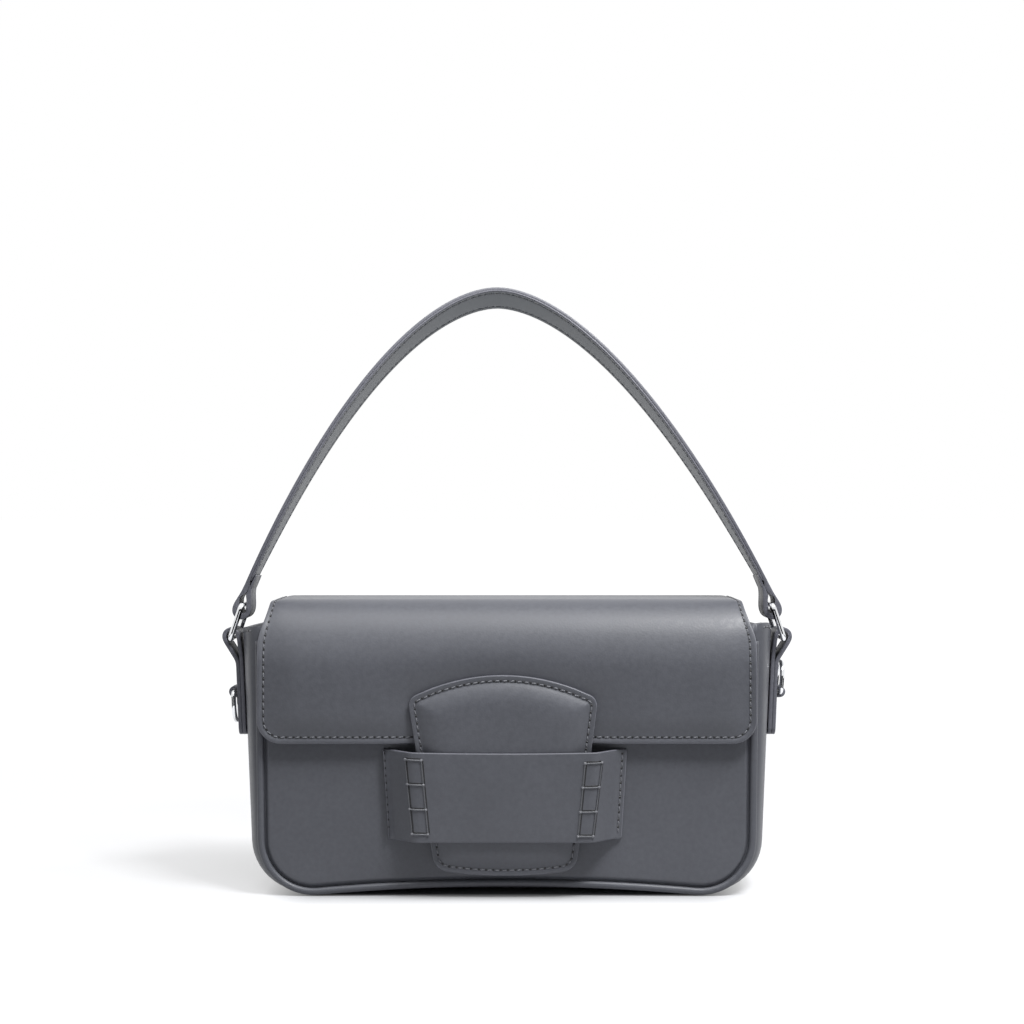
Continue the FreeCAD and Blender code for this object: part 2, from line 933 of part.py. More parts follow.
os.makedirs("parts", exist_ok=True)
for node, maker in makers.items():
    maker().exportStep(f"parts/{node}.step")
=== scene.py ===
# Baguette bag: leather, thread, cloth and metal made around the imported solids.
# Sizes are in millimetres and become metres where a mesh is made.
import math
import random

import bpy
import numpy as np
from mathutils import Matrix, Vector
from mathutils.geometry import delaunay_2d_cdt


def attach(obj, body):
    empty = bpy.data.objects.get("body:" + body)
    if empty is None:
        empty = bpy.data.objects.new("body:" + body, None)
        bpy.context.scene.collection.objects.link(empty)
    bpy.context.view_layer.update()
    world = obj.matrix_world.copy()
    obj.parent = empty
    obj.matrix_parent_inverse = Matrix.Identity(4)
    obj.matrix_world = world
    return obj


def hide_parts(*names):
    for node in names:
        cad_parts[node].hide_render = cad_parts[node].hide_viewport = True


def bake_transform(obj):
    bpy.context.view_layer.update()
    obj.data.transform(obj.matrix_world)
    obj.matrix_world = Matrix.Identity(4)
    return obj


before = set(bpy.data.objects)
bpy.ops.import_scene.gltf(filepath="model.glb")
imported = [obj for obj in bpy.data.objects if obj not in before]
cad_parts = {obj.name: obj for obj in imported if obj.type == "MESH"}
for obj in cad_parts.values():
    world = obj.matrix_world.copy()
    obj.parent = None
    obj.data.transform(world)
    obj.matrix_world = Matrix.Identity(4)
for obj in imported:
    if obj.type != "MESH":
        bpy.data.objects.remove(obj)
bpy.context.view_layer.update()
random.seed(7)
millimetre = 0.001

# Body
half_depth = 35.0
mouth_height = 139.0
front_mouth_height = 131.96
mouth_stitch_half_length = 122.0
mouth_stitch_drop = 3.5
seam_half_width_top = 128.8
seam_half_width_base = 127.2
seam_corner_radius = 27.0
seam_lift = 2.1
seam_arch = 4.6
seam_least_arch = 0.02
seam_groove_depth = 2.3
seam_groove_width = 1.3
base_flat_depth = 0.6
panel_thickness = 2.0
panel_inset = 2.0
panel_crown_height = 0.4
panel_crown_middle = 62.0
panel_crown_reach = 78.0
gusset_thickness = 2.0
gusset_half_depth = 31.8
gusset_bulge_top = 12.4
gusset_bulge_base = 7.8
gusset_top_dip = 2.0
gusset_left_rise = 1.2
gusset_right_rise = 3.4
gusset_rise_from = 108.0
gusset_hump_angle = -0.85
gusset_hump_front = 0.8
gusset_hump_rear = 0.42
gusset_hem_inset = 2.2
gusset_edge_width = 0.5
gusset_edge_angle = math.radians(50)
piping_radius = 1.9
piping_centre_depth = 33.8
lining_thickness = 0.8
lining_inset = 2.3
lining_inner_depth = 31.1
lining_base_rise = 4.35
pocket_half_width = 62.0
pocket_low = 44.0
pocket_high = 112.0
pocket_lower_corner = 5.0
pocket_upper_corner = 1.0
pocket_stitch_inset = 2.0
pocket_stitch_drop = 3.0
pocket_gap = 0.1

# Flap
flap_half_width = 129.0
flap_top_height = 153.0
flap_lower_edge = 79.5
flap_corner_radius = 12.5
flap_outer_depth = 39.5
flap_front_fold = 24.0
flap_fold_reach = 36.0
flap_rear_fold = 12.1
flap_rear_depth = 38.5
flap_leather = 2.0
flap_lining = 1.2
flap_lining_margin = 1.0
flap_lining_drop = 3.0
hinge_height = 140.9
flap_soft_height = 130.0
flap_soft_width = 11.0
flap_left_draw = 4.2
flap_right_draw = 5.0
flap_left_droop = 0.9
flap_right_droop = 0.7
flap_swell_height = 2.6
flap_swell_reach = 48.0
flap_swell_side = 22.0
flap_swell_foot = 13.0
flap_swell_from_tab = 10.0
flap_swell_at_edge = 0.35
flap_stitch_inset = 3.4
flap_seam_depth_top = 0.2
flap_seam_depth_front = 0.8
flap_seam_fade = 24.0
flap_seam_outer_width = 1.5
flap_seam_inner_width = 7.0
flap_seam_lift = 0.1
flap_seam_end_margin = 0.5
flap_shoulder = 6.0
tail_shoulder = 2.0
tail_drop = 13.0
tail_bend_drop = 4.5
tail_half_width = 125.5
tail_depth = 36.9
tail_corner_radius = 3.0
tail_stitch_inset = 3.0

# Closure tab and band
closure_centre = -1.5
tab_centre = -2.1
tab_apex_height = 115.0
tab_shoulder_height = 103.0
tab_shoulder_half_width = 49.0
tab_foot_height = 15.0
tab_foot_half_width = 36.3
tab_foot_centre = -0.8
tab_foot_sag = 3.0
tab_upper_corner = 6.0
tab_lower_corner = 9.0
tab_back_depth = 39.6
tab_middle_depth = 41.1
tab_rim_depth = 42.6
tab_crown_height = 3.5
tab_crown_inset = 3.8
tab_crown_reach = 5.5
tab_crown_power = 1.25
tab_groove_inset = 3.2
tab_groove_depth = 0.4
tab_groove_width = 1.1
tab_stitch_height = -0.3
band_low = 30.0
band_high = 76.5
band_inner_depth = 46.4
band_thickness = 2.0
band_flat_half_length = 47.0
band_ramp_length = 12.5
band_sewn_length = 2.7
band_right_margin = 1.5
band_bend_radius = 7.0
band_corner_radius = 1.2
band_end_taper = 0.045
band_sag = 1.0
band_bow_height = 0.5
band_left_stitch_inset = 1.6
band_right_stitch_inset = 2.4
band_stitch_margin = 1.5

# Side tabs, rings and keepers
side_tab_thickness = 2.1
side_tab_width = 18.0
side_tab_low = 80.0
side_tab_gap = 0.3
side_tab_throat_height = 120.0
side_tab_loop_height = 132.8
side_tab_loop_offset = 6.4
side_tab_loop_radius = 5.0
side_tab_end_radius = 4.5
side_tab_groove = 0.25
side_tab_smoothing = 12
ring_upper_x = 140.873
ring_upper_z = 149.609
d_ring_x = 145.96
d_ring_z = 102.8
keeper_bore = 1.55
keeper_thickness = 1.5
keeper_width = 10.0
keeper_gap = 0.1
keeper_end_radius = 0.01

# Handle
strap_layer = 1.6
strap_lining = 1.2
strap_width = 22.0
strap_end_width = 18.0
strap_widening_share = 0.25
strap_rise = 163.5
strap_neck_height = 159.009
strap_apex_shift = -5.6
strap_apex_tilt = math.tan(math.radians(19.3))
strap_tilt_power = 0.68
strap_apex_lean = 26.6
strap_curve_power = 1.79
strap_fold_back = 8.0
strap_skived = 0.5
strap_lining_start = 4.5
strap_glue_gap = 0.05
strap_groove = 0.2
strap_smoothing = 6
strap_step = 3.0
strap_stitch_step = 2.0
strap_stitch_margin = 1.0
strap_outer_stitch_depth = 0.15
strap_under_stitch_depth = 0.1
handle_loop_radius = 5.0
handle_loop_lean_in = 2.6
handle_loop_drop = 3.2
handle_slot_half_width = 1.82
handle_slot_half_length = 2.8
handle_fold_gap = 0.03
neck_thickness = 4.5

# Sewing
stitch_pitch = 3.8
stitch_length = 2.3
stitch_length_play = 0.15
stitch_slant = 0.12
stitch_slant_play = 0.05
stitch_height = 0.1
stitch_inset = 2.8
thread_radius = 0.36
thread_fullness = 0.7
# Needle holes are drawn as flat dark beads on the surface: painted shade standing in for the hollow
# of each hole.
hole_radius = 0.6
hole_size = (hole_radius * 1.2, hole_radius, 0.14)
hole_height = 0.06
ladder_rung_count = 4
ladder_flattening = 0.8
ladder_thread_radius = 0.42
ladder_thread_height = 0.28
# Dark strips laid under the ladder threads: painted shade along the grooves beside the threads.
ladder_shade_strip_half_width = 0.75
ladder_shade_strip_half_height = 0.07
ladder_shade_strip_shift = 0.36
ladder_knot_radius = 0.8
ladder_knot_height = 0.35

# Ends of each ladder stitch: left side, right side and height, at the top and at the foot
left_ladder = ((-52.0, -43.8, 72.7), (-48.4, -40.3, 34.4))
right_ladder = ((39.9, 48.5, 71.1), (36.3, 43.9, 33.4))

# Spacing of mesh points
edge_radius = 0.5
edge_insets = (0.0, 0.06, 0.22, 0.5, 0.9, 1.5, 2.1, 2.5, 2.8, 3.1, 3.5, 4.1, 5.0)
ribbon_insets = np.array([0.0, 0.06, 0.22, 0.5, 1.2, 2.2, 2.8, 3.4, 4.6])
ribbon_middle_margin = 0.4
ribbon_edge_share = 0.35
ribbon_groove_width = 0.55
ribbon_edge_columns = 3
outline_step = 2.2
fine_outline_step = 1.8
loop_step = 0.7
line_step = 0.5
piping_step = 2.0
band_line_step = 0.4
strand_step = 0.6
sewing_step = 0.25
bend_step_share = 0.6
grid_margin_share = 0.6
ring_tolerance = 0.01
merge_distance = 1e-7
seam_rounds = 20
seam_corner_points = 13
seam_straight_points = 25
band_bend_points = 9
arch_trial_points = 400
arch_tangent_step = 0.01

# Camera, lamps and floor in metres
camera_place = (0.0026, -0.935, 0.199)
focal_pixels = 1737
frame_pixels = 1024
floor_reach = 40.0
floor_colour = (0.42, 0.425, 0.44, 1)
# Floor glow: nothing over the bag's footprint, rising over the first fade's reach, which paints a
# contact shadow; the second fade lifts the far floor to an even white.
painted_shadow_footprint = (0.097, 0.03, 0)
floor_fades = ((0.0, 0.03, 0.0, 1.0), (0.25, 1.4, 0.62, 1.0))
world_colour = (0.97, 0.98, 1.0, 1)
world_strength = 0.11
card_low = 0.005
card_colour = (0.02, 0.02, 0.02, 1)
card_roughness = 0.9


# Materials

pattern_low = 0.3
pattern_high = 0.7


def add_node(tree, kind, links=None, values=None, **settings):
    node = tree.nodes.new("ShaderNode" + kind)
    for name, value in settings.items():
        setattr(node, name, value)
    for name, value in (values or {}).items():
        node.inputs[name].default_value = value
    for name, source in (links or {}).items():
        tree.links.new(source, node.inputs[name])
    return node.outputs


def new_material(name, stretch=(1, 1, 1)):
    material = bpy.data.materials.new(name)
    material.use_nodes = True
    tree = material.node_tree
    where = add_node(tree, "TexCoord")["Object"]
    vector = add_node(tree, "Mapping", {"Vector": where}, {"Scale": stretch})["Vector"]
    return material, tree, vector


def noise(tree, vector, scale, detail):
    return add_node(tree, "TexNoise", {"Vector": vector}, {"Scale": scale, "Detail": detail})["Fac"]


def wave(tree, vector, direction, scale, distortion):
    values = {"Scale": scale, "Distortion": distortion}
    return add_node(tree, "TexWave", {"Vector": vector}, values, bands_direction=direction)["Fac"]


def map_range(tree, value, near, far, low, high):
    limits = {"From Min": near, "From Max": far, "To Min": low, "To Max": high}
    return add_node(tree, "MapRange", {"Value": value}, limits)["Result"]


def colour_between(tree, share, colours):
    ramp = tree.nodes.new("ShaderNodeValToRGB")
    stops = zip(ramp.color_ramp.elements, (pattern_low, pattern_high), colours)
    for stop, position, colour in stops:
        stop.position = position
        stop.color = (*colour, 1)
    tree.links.new(share, ramp.inputs["Fac"])
    return ramp.outputs["Color"]


def bump(tree, height, strength, distance=0.0002, under=None):
    links = {"Height": height}
    if under is not None:
        links["Normal"] = under
    return add_node(tree, "Bump", links, {"Strength": strength, "Distance": distance})["Normal"]


def shade(colour, factor):
    return tuple(channel * factor for channel in colour)


def tones(colour, dark, light):
    return shade(colour, dark), shade(colour, light)


def finished(material, colour, roughness, normal, values=None):
    tree = material.node_tree
    surface = tree.nodes["Principled BSDF"]
    tree.links.new(colour, surface.inputs["Base Color"])
    tree.links.new(roughness, surface.inputs["Roughness"])
    tree.links.new(normal, surface.inputs["Normal"])
    for name, value in (values or {}).items():
        surface.inputs[name].default_value = value
    return material


def patterned(material, share, colours, roughness, relief, values=None):
    tree = material.node_tree
    tone = colour_between(tree, share, colours)
    rough = map_range(tree, share, pattern_low, pattern_high, *roughness)
    return finished(material, tone, rough, relief, values)


def leather(name, colour, roughness, grain_strength, mottling=0.065):
    material, tree, vector = new_material(name)
    broad = noise(tree, vector, scale=22, detail=3)
    mottle = noise(tree, vector, scale=420, detail=4)
    fine = noise(tree, vector, scale=2600, detail=3)
    grain = add_node(tree, "TexVoronoi", {"Vector": vector}, {"Scale": 1100}, feature="SMOOTH_F1")
    tone = colour_between(tree, broad, tones(colour, dark=0.95, light=1.05))
    speck = colour_between(tree, mottle, tones((1, 1, 1), 1 - mottling, 1 + mottling))
    mixed = add_node(
        tree, "Mix", {"A": tone, "B": speck}, {"Factor": 1},
        data_type="RGBA", blend_type="MULTIPLY",
    )
    spread = mottling * 0.8
    rough = map_range(
        tree, mottle, pattern_low, pattern_high, roughness - spread, roughness + spread
    )
    pores = bump(tree, grain["Distance"], grain_strength, distance=0.00025)
    skin = bump(tree, fine, grain_strength * 0.6, distance=0.00012, under=pores)
    creases = bump(tree, broad, strength=0.12, distance=0.0012, under=skin)
    return finished(material, mixed["Result"], rough, creases, {"Specular IOR Level": 0.42})


# Grainy satin finish: real edge paint, and also the near-black painted shade of needle holes and
# ladder strips.
def edge_paint_and_painted_shade(name, colour):
    material, tree, vector = new_material(name)
    grain = noise(tree, vector, scale=700, detail=3)
    relief = bump(tree, grain, strength=0.2)
    return patterned(material, grain, tones(colour, 0.9, 1.08), roughness=(0.34, 0.46), relief=relief)


def thread(name, colour):
    material, tree, vector = new_material(name)
    ply = wave(tree, vector, "DIAGONAL", scale=900, distortion=1.5)
    relief = bump(tree, ply, strength=0.5)
    return patterned(material, ply, tones(colour, 0.7, 1.1), roughness=(0.3, 0.42), relief=relief)


def cloth(name, colour):
    material, tree, vector = new_material(name)
    broad = noise(tree, vector, scale=30, detail=3)
    weave = {}
    for index, direction in enumerate(("X", "Z")):
        weave[index] = wave(tree, vector, direction, scale=420, distortion=0.6)
    crossing = add_node(tree, "Math", weave, operation="MAXIMUM")[0]
    relief = bump(tree, crossing, strength=0.35)
    return patterned(
        material, broad, tones(colour, 0.88, 1.1), roughness=(0.78, 0.9), relief=relief,
        values={"Sheen Weight": 0.15},
    )


def chrome(name):
    material, tree, vector = new_material(name)
    haze = noise(tree, vector, scale=260, detail=4)
    colours = ((0.78, 0.79, 0.81), (0.86, 0.87, 0.89))
    relief = bump(tree, haze, strength=0.03)
    return patterned(
        material, haze, colours, roughness=(0.06, 0.12), relief=relief,
        values={"Metallic": 1},
    )


def board(name, colour):
    material, tree, vector = new_material(name, stretch=(1, 1, 4))
    fibre = noise(tree, vector, scale=500, detail=5)
    relief = bump(tree, fibre, strength=0.3, distance=0.0003)
    return patterned(material, fibre, tones(colour, 0.85, 1.1), roughness=(0.8, 0.95), relief=relief)


grey = (0.112, 0.117, 0.135)
main_leather = leather("main_leather", grey, roughness=0.42, grain_strength=0.14)
# Lighter copy of the grey leather for the handle's lining: painted light, standing in for light
# bounced up from the floor onto the handle's underside.
painted_light_strap_leather = leather(
    "painted_light_strap_leather", (0.192, 0.207, 0.223), roughness=0.42, grain_strength=0.05, mottling=0.03
)
under_leather = leather("under_leather", shade(grey, 0.95), roughness=0.52, grain_strength=0.1)
painted_edge = edge_paint_and_painted_shade("painted_edge", (0.16, 0.163, 0.192))
sewing_thread = thread("sewing_thread", (0.235, 0.24, 0.264))
ladder_thread = thread("ladder_thread", (0.18, 0.186, 0.204))
# Darker copy of the thread: painted shade, for stitches that lie in shadow (the band's left end and
# the ladder's upright strands).
painted_shade_thread = thread("painted_shade_thread", (0.125, 0.13, 0.145))
# Near-black painted shade for needle holes and for the strips under the ladder threads.
needle_hole_painted_shade = edge_paint_and_painted_shade("needle_hole_painted_shade", (0.012, 0.012, 0.014))
lining_cloth = cloth("woven_lining", (0.095, 0.098, 0.108))
polished_metal = chrome("polished_metal")
grey_board = board("grey_board", (0.3, 0.28, 0.25))
leather_set = [main_leather, painted_edge, under_leather]
panel_set = [main_leather, main_leather, under_leather]
under_set = [under_leather, painted_edge, under_leather]
strap_lining_set = [painted_light_strap_leather, painted_edge, under_leather]
cloth_set = [lining_cloth] * 3
# The ladder's one thread in lit and shaded copies: rungs in the ladder thread, upright strands darker
# as painted shade, knots in the lighter sewing thread as a painted highlight; the strip slot holds
# painted shade.
ladder_set = [ladder_thread, needle_hole_painted_shade, painted_shade_thread, sewing_thread]
rung_slot, shade_strip_slot, strand_slot, knot_slot = range(len(ladder_set))


# Shape helpers


def eased(share):
    share = np.clip(share, 0, 1)
    return share * share * (3 - 2 * share)


def unit(vectors):
    return vectors / np.linalg.norm(vectors, axis=-1, keepdims=True)


def in_space(x, y, z):
    return np.stack(np.broadcast_arrays(x, y, z), axis=1)


def upright(path, depth):
    return in_space(path[:, 0], depth, path[:, 1])


def lengths_along(path):
    return np.concatenate([[0], np.cumsum(np.linalg.norm(np.diff(path, axis=0), axis=1))])


def read_off(at, reach, rows):
    return [np.interp(at, reach, axis) for axis in rows.T]


def resampled(path, step):
    path = np.asarray(path, float)
    reach = lengths_along(path)
    count = max(2, int(round(reach[-1] / step)) + 1)
    return np.stack(read_off(np.linspace(0, reach[-1], count), reach, path), axis=1)


def smoothed(path, rounds):
    for _ in range(rounds):
        inner = (path[:-2] + 2 * path[1:-1] + path[2:]) / 4
        path = np.concatenate([path[:1], inner, path[-1:]])
    return path


def running_mean(rows, window):
    kernel = np.ones(window) / window
    padded = np.pad(rows, ((window // 2, window // 2), (0, 0)), "edge")
    return np.stack([np.convolve(axis, kernel, "valid") for axis in padded.T], axis=1)


def arc_points(centre, radius, start, end, count):
    angles = np.linspace(start, end, count)
    ring = np.stack([np.cos(angles), np.sin(angles)], axis=1)
    return np.asarray(centre) + radius * ring


def add_mesh(name, points, faces, materials, slots):
    mesh = bpy.data.meshes.new(name)
    mesh.from_pydata((np.asarray(points) * millimetre).tolist(), [], faces)
    for material in materials:
        mesh.materials.append(material)
    mesh.polygons.foreach_set("material_index", slots)
    mesh.polygons.foreach_set("use_smooth", [True] * len(mesh.polygons))
    mesh.update()
    piece = bpy.data.objects.new(name, mesh)
    bpy.context.scene.collection.objects.link(piece)
    return piece


def add_blocks(name, blocks, materials):
    faces = []
    slots = []
    first = 0
    for points, block_faces, slot in blocks:
        faces += [tuple(first + index for index in face) for face in block_faces]
        slots += [slot] * len(block_faces)
        first += len(points)
    points = np.concatenate([block[0] for block in blocks])
    return add_mesh(name, points, faces, materials, slots)


# Outlines of flat sheets


def rounded_outline(corners, step):
    places = np.array([corner[:2] for corner in corners], float)
    count = len(corners)
    pieces = []
    for index, (_, _, radius) in enumerate(corners):
        here = places[index]
        to_before = unit(places[index - 1] - here)
        to_after = unit(places[(index + 1) % count] - here)
        if radius <= 0:
            pieces.append(here[None])
            continue
        half_angle = math.acos(np.clip(to_before @ to_after, -1, 1)) / 2
        reach = radius / math.tan(half_angle)
        centre = here + unit(to_before + to_after) * radius / math.sin(half_angle)
        first = here + to_before * reach - centre
        turn = math.pi - 2 * half_angle
        start = math.atan2(first[1], first[0])
        bends = max(3, int(radius * turn / (step * bend_step_share)) + 1)
        pieces.append(arc_points(centre, radius, start, start + turn, bends))
    path = np.concatenate(pieces + [pieces[0][:1]])
    full = [path[:1]]
    for start, end in zip(path[:-1], path[1:]):
        parts = max(1, int(math.ceil(np.linalg.norm(end - start) / step)))
        shares = np.linspace(0, 1, parts + 1)[1:, None]
        full.append(start + (end - start) * shares)
    return np.concatenate(full)[:-1]


def inset_outline(outline, inset):
    before = unit(outline - np.roll(outline, 1, axis=0))
    after = unit(np.roll(outline, -1, axis=0) - outline)
    inward_before = np.stack([-before[:, 1], before[:, 0]], axis=1)
    inward_after = np.stack([-after[:, 1], after[:, 0]], axis=1)
    inward = unit(inward_before + inward_after)
    miter = np.maximum(0.5, (inward * inward_after).sum(axis=1))
    return outline + inward * (inset / miter)[:, None]


def inside(outline, points):
    found = np.zeros(len(points), bool)
    for start, end in zip(outline, np.roll(outline, -1, axis=0)):
        crosses = (start[1] > points[:, 1]) != (end[1] > points[:, 1])
        rise = end[1] - start[1]
        if rise == 0:
            continue
        at = start[0] + (points[:, 1] - start[1]) * (end[0] - start[0]) / rise
        found ^= crosses & (points[:, 0] < at)
    return found


def distance_to(outline, points):
    nearest = np.full(len(points), np.inf)
    for start, end in zip(outline, np.roll(outline, -1, axis=0)):
        run = end - start
        share = np.clip(((points - start) @ run) / (run @ run), 0, 1)
        away = np.linalg.norm(points - start - share[:, None] * run, axis=1)
        nearest = np.minimum(nearest, away)
    return nearest


def closed_line(outline, inset):
    line = inset_outline(outline, inset)
    return np.concatenate([line, line[:1]])


def lines_below(outline, inset, top):
    line = inset_outline(outline, inset)
    kept = line[:, 1] < top
    first = int(np.argmin(kept))
    line = np.roll(line, -first, axis=0)
    kept = np.roll(kept, -first)
    breaks = np.flatnonzero(np.diff(kept)) + 1
    parts = zip(np.split(line, breaks), np.split(kept, breaks))
    return [part for part, good in parts if good[0] and len(part) > 1]


# Sheets


def cut_sheet(outline, spacing):
    rings = []
    for inset in edge_insets:
        ring = inset_outline(outline, inset)
        rings.append(ring[distance_to(outline, ring) > inset - ring_tolerance])
    low = outline.min(axis=0)
    high = outline.max(axis=0)
    columns = np.arange(low[0] + spacing / 2, high[0], spacing)
    rows = np.arange(low[1] + spacing / 2, high[1], spacing)
    grid = np.stack(np.meshgrid(columns, rows), axis=-1).reshape(-1, 2)
    grid = grid[inside(rings[-1], grid)]
    grid = grid[distance_to(rings[-1], grid) > spacing * grid_margin_share]
    edges = []
    first = 0
    for ring in rings:
        count = len(ring)
        edges += [(first + index, first + (index + 1) % count) for index in range(count)]
        first += count
    points = np.concatenate(rings + [grid])
    made = delaunay_2d_cdt([Vector(place) for place in points], edges, [], 1, merge_distance)
    flat = np.array([tuple(place) for place in made[0]])
    where = {old: new for new, sources in enumerate(made[3]) for old in sources}
    rim = [where[index] for index in range(len(outline))]
    depth = distance_to(outline, flat)
    depth[rim] = 0.0
    return flat, [tuple(face) for face in made[2]], depth, rim


def rounding(depth, radius):
    inner = np.clip(radius - depth, 0, radius)
    return radius - np.sqrt(radius * radius - inner * inner)


def groove(depth, at, deep, wide):
    return deep * np.exp(-(((depth - at) / wide) ** 2))


def flat_relief(points, depth):
    return 0 * depth


def sewn_sheet(
    name, outline, place, thickness, materials,
    relief=flat_relief, spacing=4.0, radius=edge_radius,
):
    flat, triangles, depth, rim = cut_sheet(outline, spacing)
    drop = rounding(depth, radius)
    top = place(flat, relief(flat, depth) - drop)
    bottom = place(flat, drop - thickness)
    count = len(flat)
    on_edge = [(depth[list(face)] < radius).all() for face in triangles]
    faces = list(triangles)
    faces += [tuple(count + index for index in reversed(face)) for face in triangles]
    slots = [1 if edge else 0 for edge in on_edge]
    slots += [1 if edge else 2 for edge in on_edge]
    for start, end in zip(rim, rim[1:] + rim[:1]):
        faces.append((end, start, count + start, count + end))
        slots.append(1)
    return add_mesh(name, np.concatenate([top, bottom]), faces, materials, slots)


# Tubes and ribbons that follow a path in space


def tube_faces(rows, columns):
    faces = []
    last = (rows - 1) * columns
    for low in range(0, last, columns):
        high = low + columns
        for column in range(columns):
            after = (column + 1) % columns
            faces.append((low + column, high + column, high + after, low + after))
    faces.append(tuple(range(columns)))
    faces.append(tuple(reversed(range(last, last + columns))))
    return faces


def loft(name, sections, materials, edge_columns=0):
    count = len(sections[0])
    half = count // 2
    slots = [0] * count
    if edge_columns:
        slots = [0] * half + [2] * half
        for column in range(count):
            place = column % half
            if place < edge_columns or place >= half - 1 - edge_columns:
                slots[column] = 1
    slots = slots * (len(sections) - 1) + [1 if edge_columns else 0] * 2
    faces = tube_faces(len(sections), count)
    return add_mesh(name, np.concatenate(sections), faces, materials, slots)


def ribbon(name, path, sides, normals, widths, thickness, materials, groove_deep=0.0):
    thicknesses = np.broadcast_to(thickness, len(path))
    radius = min(edge_radius, thicknesses.min() * ribbon_edge_share)
    sections = []
    for place, side, normal, width, thick in zip(path, sides, normals, widths, thicknesses):
        depth = ribbon_insets * min(1.0, width / 2 / (ribbon_insets[-1] + ribbon_middle_margin))
        drop = rounding(depth, radius)
        drop = drop + groove(depth, stitch_inset, groove_deep, ribbon_groove_width)
        across = np.concatenate([-width / 2 + depth, [0.0], (width / 2 - depth)[::-1]])
        height = np.concatenate([-drop, [0.0], -drop[::-1]]) + thick / 2
        top = place + np.outer(across, side) + np.outer(height, normal)
        low = place + np.outer(across[::-1], side) - np.outer(height[::-1], normal)
        sections.append(np.concatenate([top, low]))
    return loft(name, sections, materials, ribbon_edge_columns)


def flat_ribbon(name, path, width, thickness, end_radius, groove_deep=0.0):
    points = upright(path, 0.0)
    along = unit(np.gradient(points, axis=0))
    sides = np.tile([0.0, 1.0, 0.0], (len(points), 1))
    reach = lengths_along(points)
    ends = np.minimum(reach, reach[-1] - reach)
    widths = width - 2 * rounding(ends, end_radius)
    return ribbon(
        name, points, sides, np.cross(along, sides), widths, thickness, leather_set, groove_deep
    )


def run_frames(points, normals):
    along = unit(np.gradient(points, axis=0))
    upward = unit(normals - along * (normals * along).sum(axis=1, keepdims=True))
    aside = np.cross(upward, along)
    return along, aside, upward


def round_turns(segments):
    return -2 * math.pi * np.arange(segments) / segments


def oval_tube(points, normals, half_width, half_height, segments):
    along, aside, upward = run_frames(points, normals)
    turns = round_turns(segments)
    ring = np.cos(turns)[None, :, None] * aside[:, None] * half_width
    ring = ring + np.sin(turns)[None, :, None] * upward[:, None] * half_height
    return points[:, None] + ring


# Thread


def bead_shape(rings, segments):
    angles = math.pi * np.arange(1, rings) / rings
    angle, turn = np.meshgrid(angles, round_turns(segments), indexing="ij")
    girth = np.sin(angle) ** thread_fullness
    points = np.stack([-np.cos(angle), girth * np.cos(turn), girth * np.sin(turn)], axis=-1)
    return points.reshape(-1, 3), tube_faces(rings - 1, segments)


def beads(rows, shape, slot):
    shape_points, shape_faces = shape
    points = []
    faces = []
    for place, axes, size in rows:
        first = len(points) * len(shape_points)
        points.append(place + (shape_points * size) @ axes)
        faces += [tuple(first + index for index in face) for face in shape_faces]
    return np.concatenate(points), faces, slot


stitch_shape = bead_shape(rings=7, segments=8)
hole_shape = bead_shape(rings=4, segments=8)


def sewing(name, runs, material=sewing_thread):
    stitches = []
    holes = []
    for path, normals in runs:
        joined = resampled(np.concatenate([path, normals], axis=1), sewing_step)
        points = joined[:, :3]
        along, aside, upward = run_frames(points, joined[:, 3:])
        reach = lengths_along(points)
        count = max(1, int(reach[-1] / stitch_pitch))
        start = (reach[-1] - count * stitch_pitch) / 2
        for index in range(count):
            middle = start + (index + 0.5) * stitch_pitch
            at, hole_at = np.searchsorted(reach, (middle, middle + stitch_pitch / 2))
            at = min(len(points) - 1, at)
            hole_at = min(len(points) - 1, hole_at)
            lean = stitch_slant + random.uniform(-stitch_slant_play, stitch_slant_play)
            forward = along[at] * math.cos(lean) + aside[at] * math.sin(lean)
            axes = np.stack([forward, np.cross(upward[at], forward), upward[at]])
            length = stitch_length + random.uniform(-stitch_length_play, stitch_length_play)
            size = (length / 2, thread_radius, thread_radius)
            stitches.append((points[at] + upward[at] * stitch_height, axes, size))
            axes = np.stack([along[hole_at], aside[hole_at], upward[hole_at]])
            holes.append((points[hole_at] + upward[hole_at] * hole_height, axes, hole_size))
    blocks = [beads(stitches, stitch_shape, 0), beads(holes, hole_shape, 1)]
    return add_blocks(name, blocks, [material, needle_hole_painted_shade])


def on_surface(path, place, height):
    points = place(path, np.full(len(path), height))
    above = place(path, np.full(len(path), height + 1.0))
    return points, unit(above - points)


def surface_run(path, place, height=0.0):
    return on_surface(resampled(path, line_step), place, height)


# Seam line of the panels, and of the gusset at any share of its bulge


